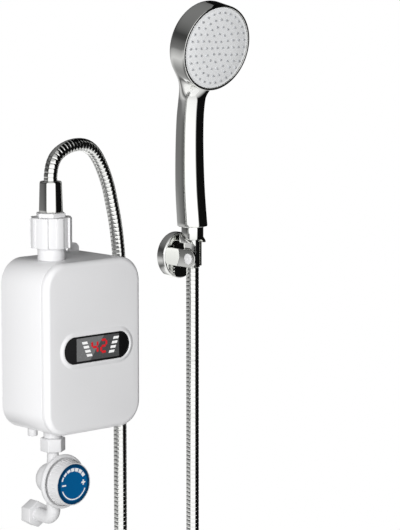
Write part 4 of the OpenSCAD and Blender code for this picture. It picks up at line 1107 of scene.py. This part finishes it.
class HEATER_OT_inner(bpy.types.Operator):
    """Finishes for all solids of the frame, also for those that a piece replaces"""

    bl_idname = "heater.inner"
    bl_label = "Inner solids"

    finishes = {
        "rubber": "cover_gasket tank_gasket outlet_washer hose_washer_heater supply_washer handset_washer",
        "steel": "cover_screws heating_tank tank_cap knob_screw pivot_screw",
        "element": "heating_element",
        "brass": "hose_fitting_heater valve_spindle",
        "ivory": "thermal_cutout flow_switch_body terminal_block bracket_plate",
        "dark": "display_module flow_piston reed_switch",
        "board": "display_board control_board",
        "filter": "inlet_filter",
        "fitting": "gland_nut outlet_locknut outlet_tail inlet_locknut cable_gland outlet_spout "
                   "outlet_coupling_nut hose_adapter inlet_spout inlet_union_nut valve_body valve_bonnet "
                   "flow_knob supply_union_nut",
        "casing": "rear_shell front_cover",
        "lens": "display_lens",
        "dial": "knob_dial",
        "hose": "hose_main hose_upper",
        "chrome": "hose_nut_heater hose_sleeve hose_nut_handset handset_body bracket_body cradle",
        "face": "spray_plate",
        "nozzle": "spray_nozzles",
    }

    def execute(self, context):
        missing = set(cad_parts)
        for look, names in self.finishes.items():
            for name in names.split():
                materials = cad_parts[name].data.materials
                materials.clear()
                materials.append(looks()[look])
                missing.remove(name)
        if missing:
            raise RuntimeError(f"no finish for {sorted(missing)}")
        return {"FINISHED"}


# Camera: its place in metres, its heading and pitch in degrees, its focal length and the picture's height
# in pixels, and its sensor in mm. Floor: its radius and middle in mm, and its glow.
EYE, HEADING, PITCH = (-1.51306, -1.87163, 0.40320), 42.6, 82.2
FOCAL, PHOTO_HEIGHT, SENSOR = 2400, 530, 36
FLOOR_R, FLOOR_SPOT, FLOOR_GLOW = 500, (50, -50, -542.5), 0.56
# Each lamp: its name, place in metres, size and power.
LAMPS = ("key", (-1.85, -1.35, 0.4), 1.3, 62), ("back", (1.3, 1.6, 0.0), 1.0, 22)
# Grey levels of the room by the share of a turn round it, with the camera at a half.
MIDDLE = (0.0, 0.0), (0.385, 0.0), (0.40, 1.0), (0.63, 1.0), (0.655, 0.004), (1.0, 0.004)
BEHIND = (0.0, 0.8), (0.05, 0.8), (0.075, 0.0), (0.94, 0.0), (0.96, 0.8), (1.0, 0.8)
LEFT = (0.0, 1.0), (0.28, 1.0), (0.35, 0.65), (0.385, 0.5), (0.40, 0.0), (1.0, 0.0)
# Grey levels by height, from straight down to straight up.
LEVELS = (0.0, 0.55), (0.40, 0.8), (0.49, 0.85), (0.56, 1.0), (0.68, 0.9), (0.80, 0.45), (1.0, 0.35)
GREYS = ((0.0, 0.7), (0.10, 0.62), (0.135, 0.08), (0.2, 0.1), (0.27, 0.33), (0.32, 0.48), (0.38, 0.36),
         (0.43, 0.25), (0.455, 0.14), (0.5, 0.11), (0.56, 0.085), (0.62, 0.045), (0.68, 0.036), (0.75, 0.08),
         (0.85, 0.125), (1.0, 0.15))
GROUND = (0.0, 0.7), (0.12, 0.45), (0.2, 0.0), (1.0, 0.0)
LOW = (0.0, 1.0), (0.30, 1.0), (0.36, 0.0), (1.0, 0.0)
SOFT_LIGHT, MIRRORED_LIGHT = 0.31, 1.5


def ramp(tree, value, stops):
    """A ramp of grey levels."""
    return tint(tree, value, *((spot, (level, level, level)) for spot, level in stops))


def choose(tree, value, without, with_):
    """One shader where a value is 0, and another where it is 1."""
    return add(tree, "MixShader", {"Fac": value, 1: without, 2: with_})


def lamp(name, spot, size, power):
    """A round soft lamp that shines at the casing's middle and isn't mirrored."""
    data = bpy.data.lights.new(name, "AREA")
    data.shape = "DISK"
    data.size = size
    data.energy = power
    obj = bpy.data.objects.new(name, data)
    obj.location = spot
    obj.visible_glossy = False
    obj.rotation_euler = (-Vector(spot)).to_track_quat("-Z", "Y").to_euler()
    bpy.context.scene.collection.objects.link(obj)


def pale_floor():
    """White card that keeps its shadow, and is as bright as the room where it is seen or mirrored."""
    look = moulded("floor_white", (0.86, 0.86, 0.86), (0.6, 0.8), 0.0, 0.01, 0.02)
    tree = look.node_tree
    paths = tree.nodes.new("ShaderNodeLightPath").outputs
    seen = add(tree, "Math", {0: paths["Is Camera Ray"], 1: paths["Is Glossy Ray"]}, "MAXIMUM")
    plain, glow = (add(tree, "Emission", {"Strength": strength}) for strength in (0, FLOOR_GLOW))
    card = tree.nodes["Principled BSDF"].outputs[0]
    lift = add(tree, "AddShader", {0: card, 1: choose(tree, seen, plain, glow)})
    tree.links.new(lift, tree.nodes["Material Output"].inputs["Surface"])
    return look


def sky(scene):
    """A pale room with a bright middle, a grey side and a dark side, white where it is seen directly."""
    world = scene.world or bpy.data.worlds.new("room")
    scene.world = world
    world.use_nodes = True
    tree = world.node_tree
    tree.nodes.clear()
    way = add(tree, "TexCoord", {}, output="Generated")
    turn = math.radians(HEADING)
    axes = (math.cos(turn), -math.sin(turn), 0), (-math.sin(turn), -math.cos(turn), 0)
    right, front = (add(tree, "VectorMath", {0: way, 1: axis}, "DOT_PRODUCT", "Value") for axis in axes)
    share = between(tree, add(tree, "Math", {0: right, 1: front}, "ARCTAN2"), -math.pi, math.pi)
    height = between(tree, part(tree, way, "Z"), -1, 1)
    room = ramp(tree, height, GROUND)
    for across, upward in ((MIDDLE, LEVELS), (LEFT, GREYS), (BEHIND, LOW)):
        sides = {0: ramp(tree, share, across), 1: ramp(tree, height, upward)}
        room = add(tree, "VectorMath", {0: room, 1: add(tree, "VectorMath", sides, "MULTIPLY")}, "MAXIMUM")
    soft = add(tree, "Background", {"Color": ramp(tree, height, LEVELS), "Strength": SOFT_LIGHT})
    mirrored = add(tree, "Background", {"Color": room, "Strength": MIRRORED_LIGHT})
    white = add(tree, "Background", {"Color": (1, 1, 1, 1)})
    paths = tree.nodes.new("ShaderNodeLightPath").outputs
    inside = choose(tree, paths["Is Glossy Ray"], soft, mirrored)
    shown = choose(tree, paths["Is Camera Ray"], inside, white)
    tree.links.new(shown, tree.nodes.new("ShaderNodeOutputWorld").inputs["Surface"])


class HEATER_OT_stage(bpy.types.Operator):
    """Pale floor, soft studio light and the camera"""

    bl_idname = "heater.stage"
    bl_label = "Stage"

    def execute(self, context):
        scene = context.scene
        scene.view_settings.view_transform = "Standard"
        floor = disc(FLOOR_R, FLOOR_SPOT, 96)
        floor.name = "floor"
        floor.data.materials.append(pale_floor())
        sky(scene)
        for row in LAMPS:
            lamp(*row)
        calm()
        data = bpy.data.cameras.new("camera")
        data.lens = SENSOR * FOCAL / PHOTO_HEIGHT
        data.sensor_width = SENSOR
        camera = bpy.data.objects.new("camera", data)
        camera.location = EYE
        camera.rotation_euler = (math.radians(PITCH), 0, math.radians(-HEADING))
        scene.collection.objects.link(camera)
        scene.camera = camera
        return {"FINISHED"}


class HEATER_PT_panel(bpy.types.Panel):
    """Lists the pieces and their settings"""

    bl_idname = "HEATER_PT_panel"
    bl_label = "Water heater set"
    bl_space_type = "VIEW_3D"
    bl_region_type = "UI"
    bl_category = "Heater"

    def draw(self, context):
        for group in GROUPS:
            settings = getattr(context.scene, group)
            for name in settings.__annotations__:
                self.layout.prop(settings, name)
        for piece in PIECES:
            self.layout.operator(piece.bl_idname)


PIECES = (HEATER_OT_stage, HEATER_OT_hose, HEATER_OT_casing, HEATER_OT_display, HEATER_OT_outlet,
          HEATER_OT_valve, HEATER_OT_bracket, HEATER_OT_hand_shower, HEATER_OT_inner)
GROUPS = {"heater_casing": CasingSettings, "heater_hose": HoseSettings, "heater_colours": ColourSettings}


def register():
    for cls in (*GROUPS.values(), *PIECES, HEATER_PT_panel):
        bpy.utils.register_class(cls)
    for name, cls in GROUPS.items():
        setattr(bpy.types.Scene, name, bpy.props.PointerProperty(type=cls))


def unregister():
    for name in GROUPS:
        delattr(bpy.types.Scene, name)
    for cls in (HEATER_PT_panel, *reversed(PIECES), *GROUPS.values()):
        bpy.utils.unregister_class(cls)


def main():
    register()
    for piece in PIECES:
        group, name = piece.bl_idname.split(".")
        getattr(getattr(bpy.ops, group), name)()
    calm()
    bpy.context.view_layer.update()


if __name__ == "__main__":
    main()
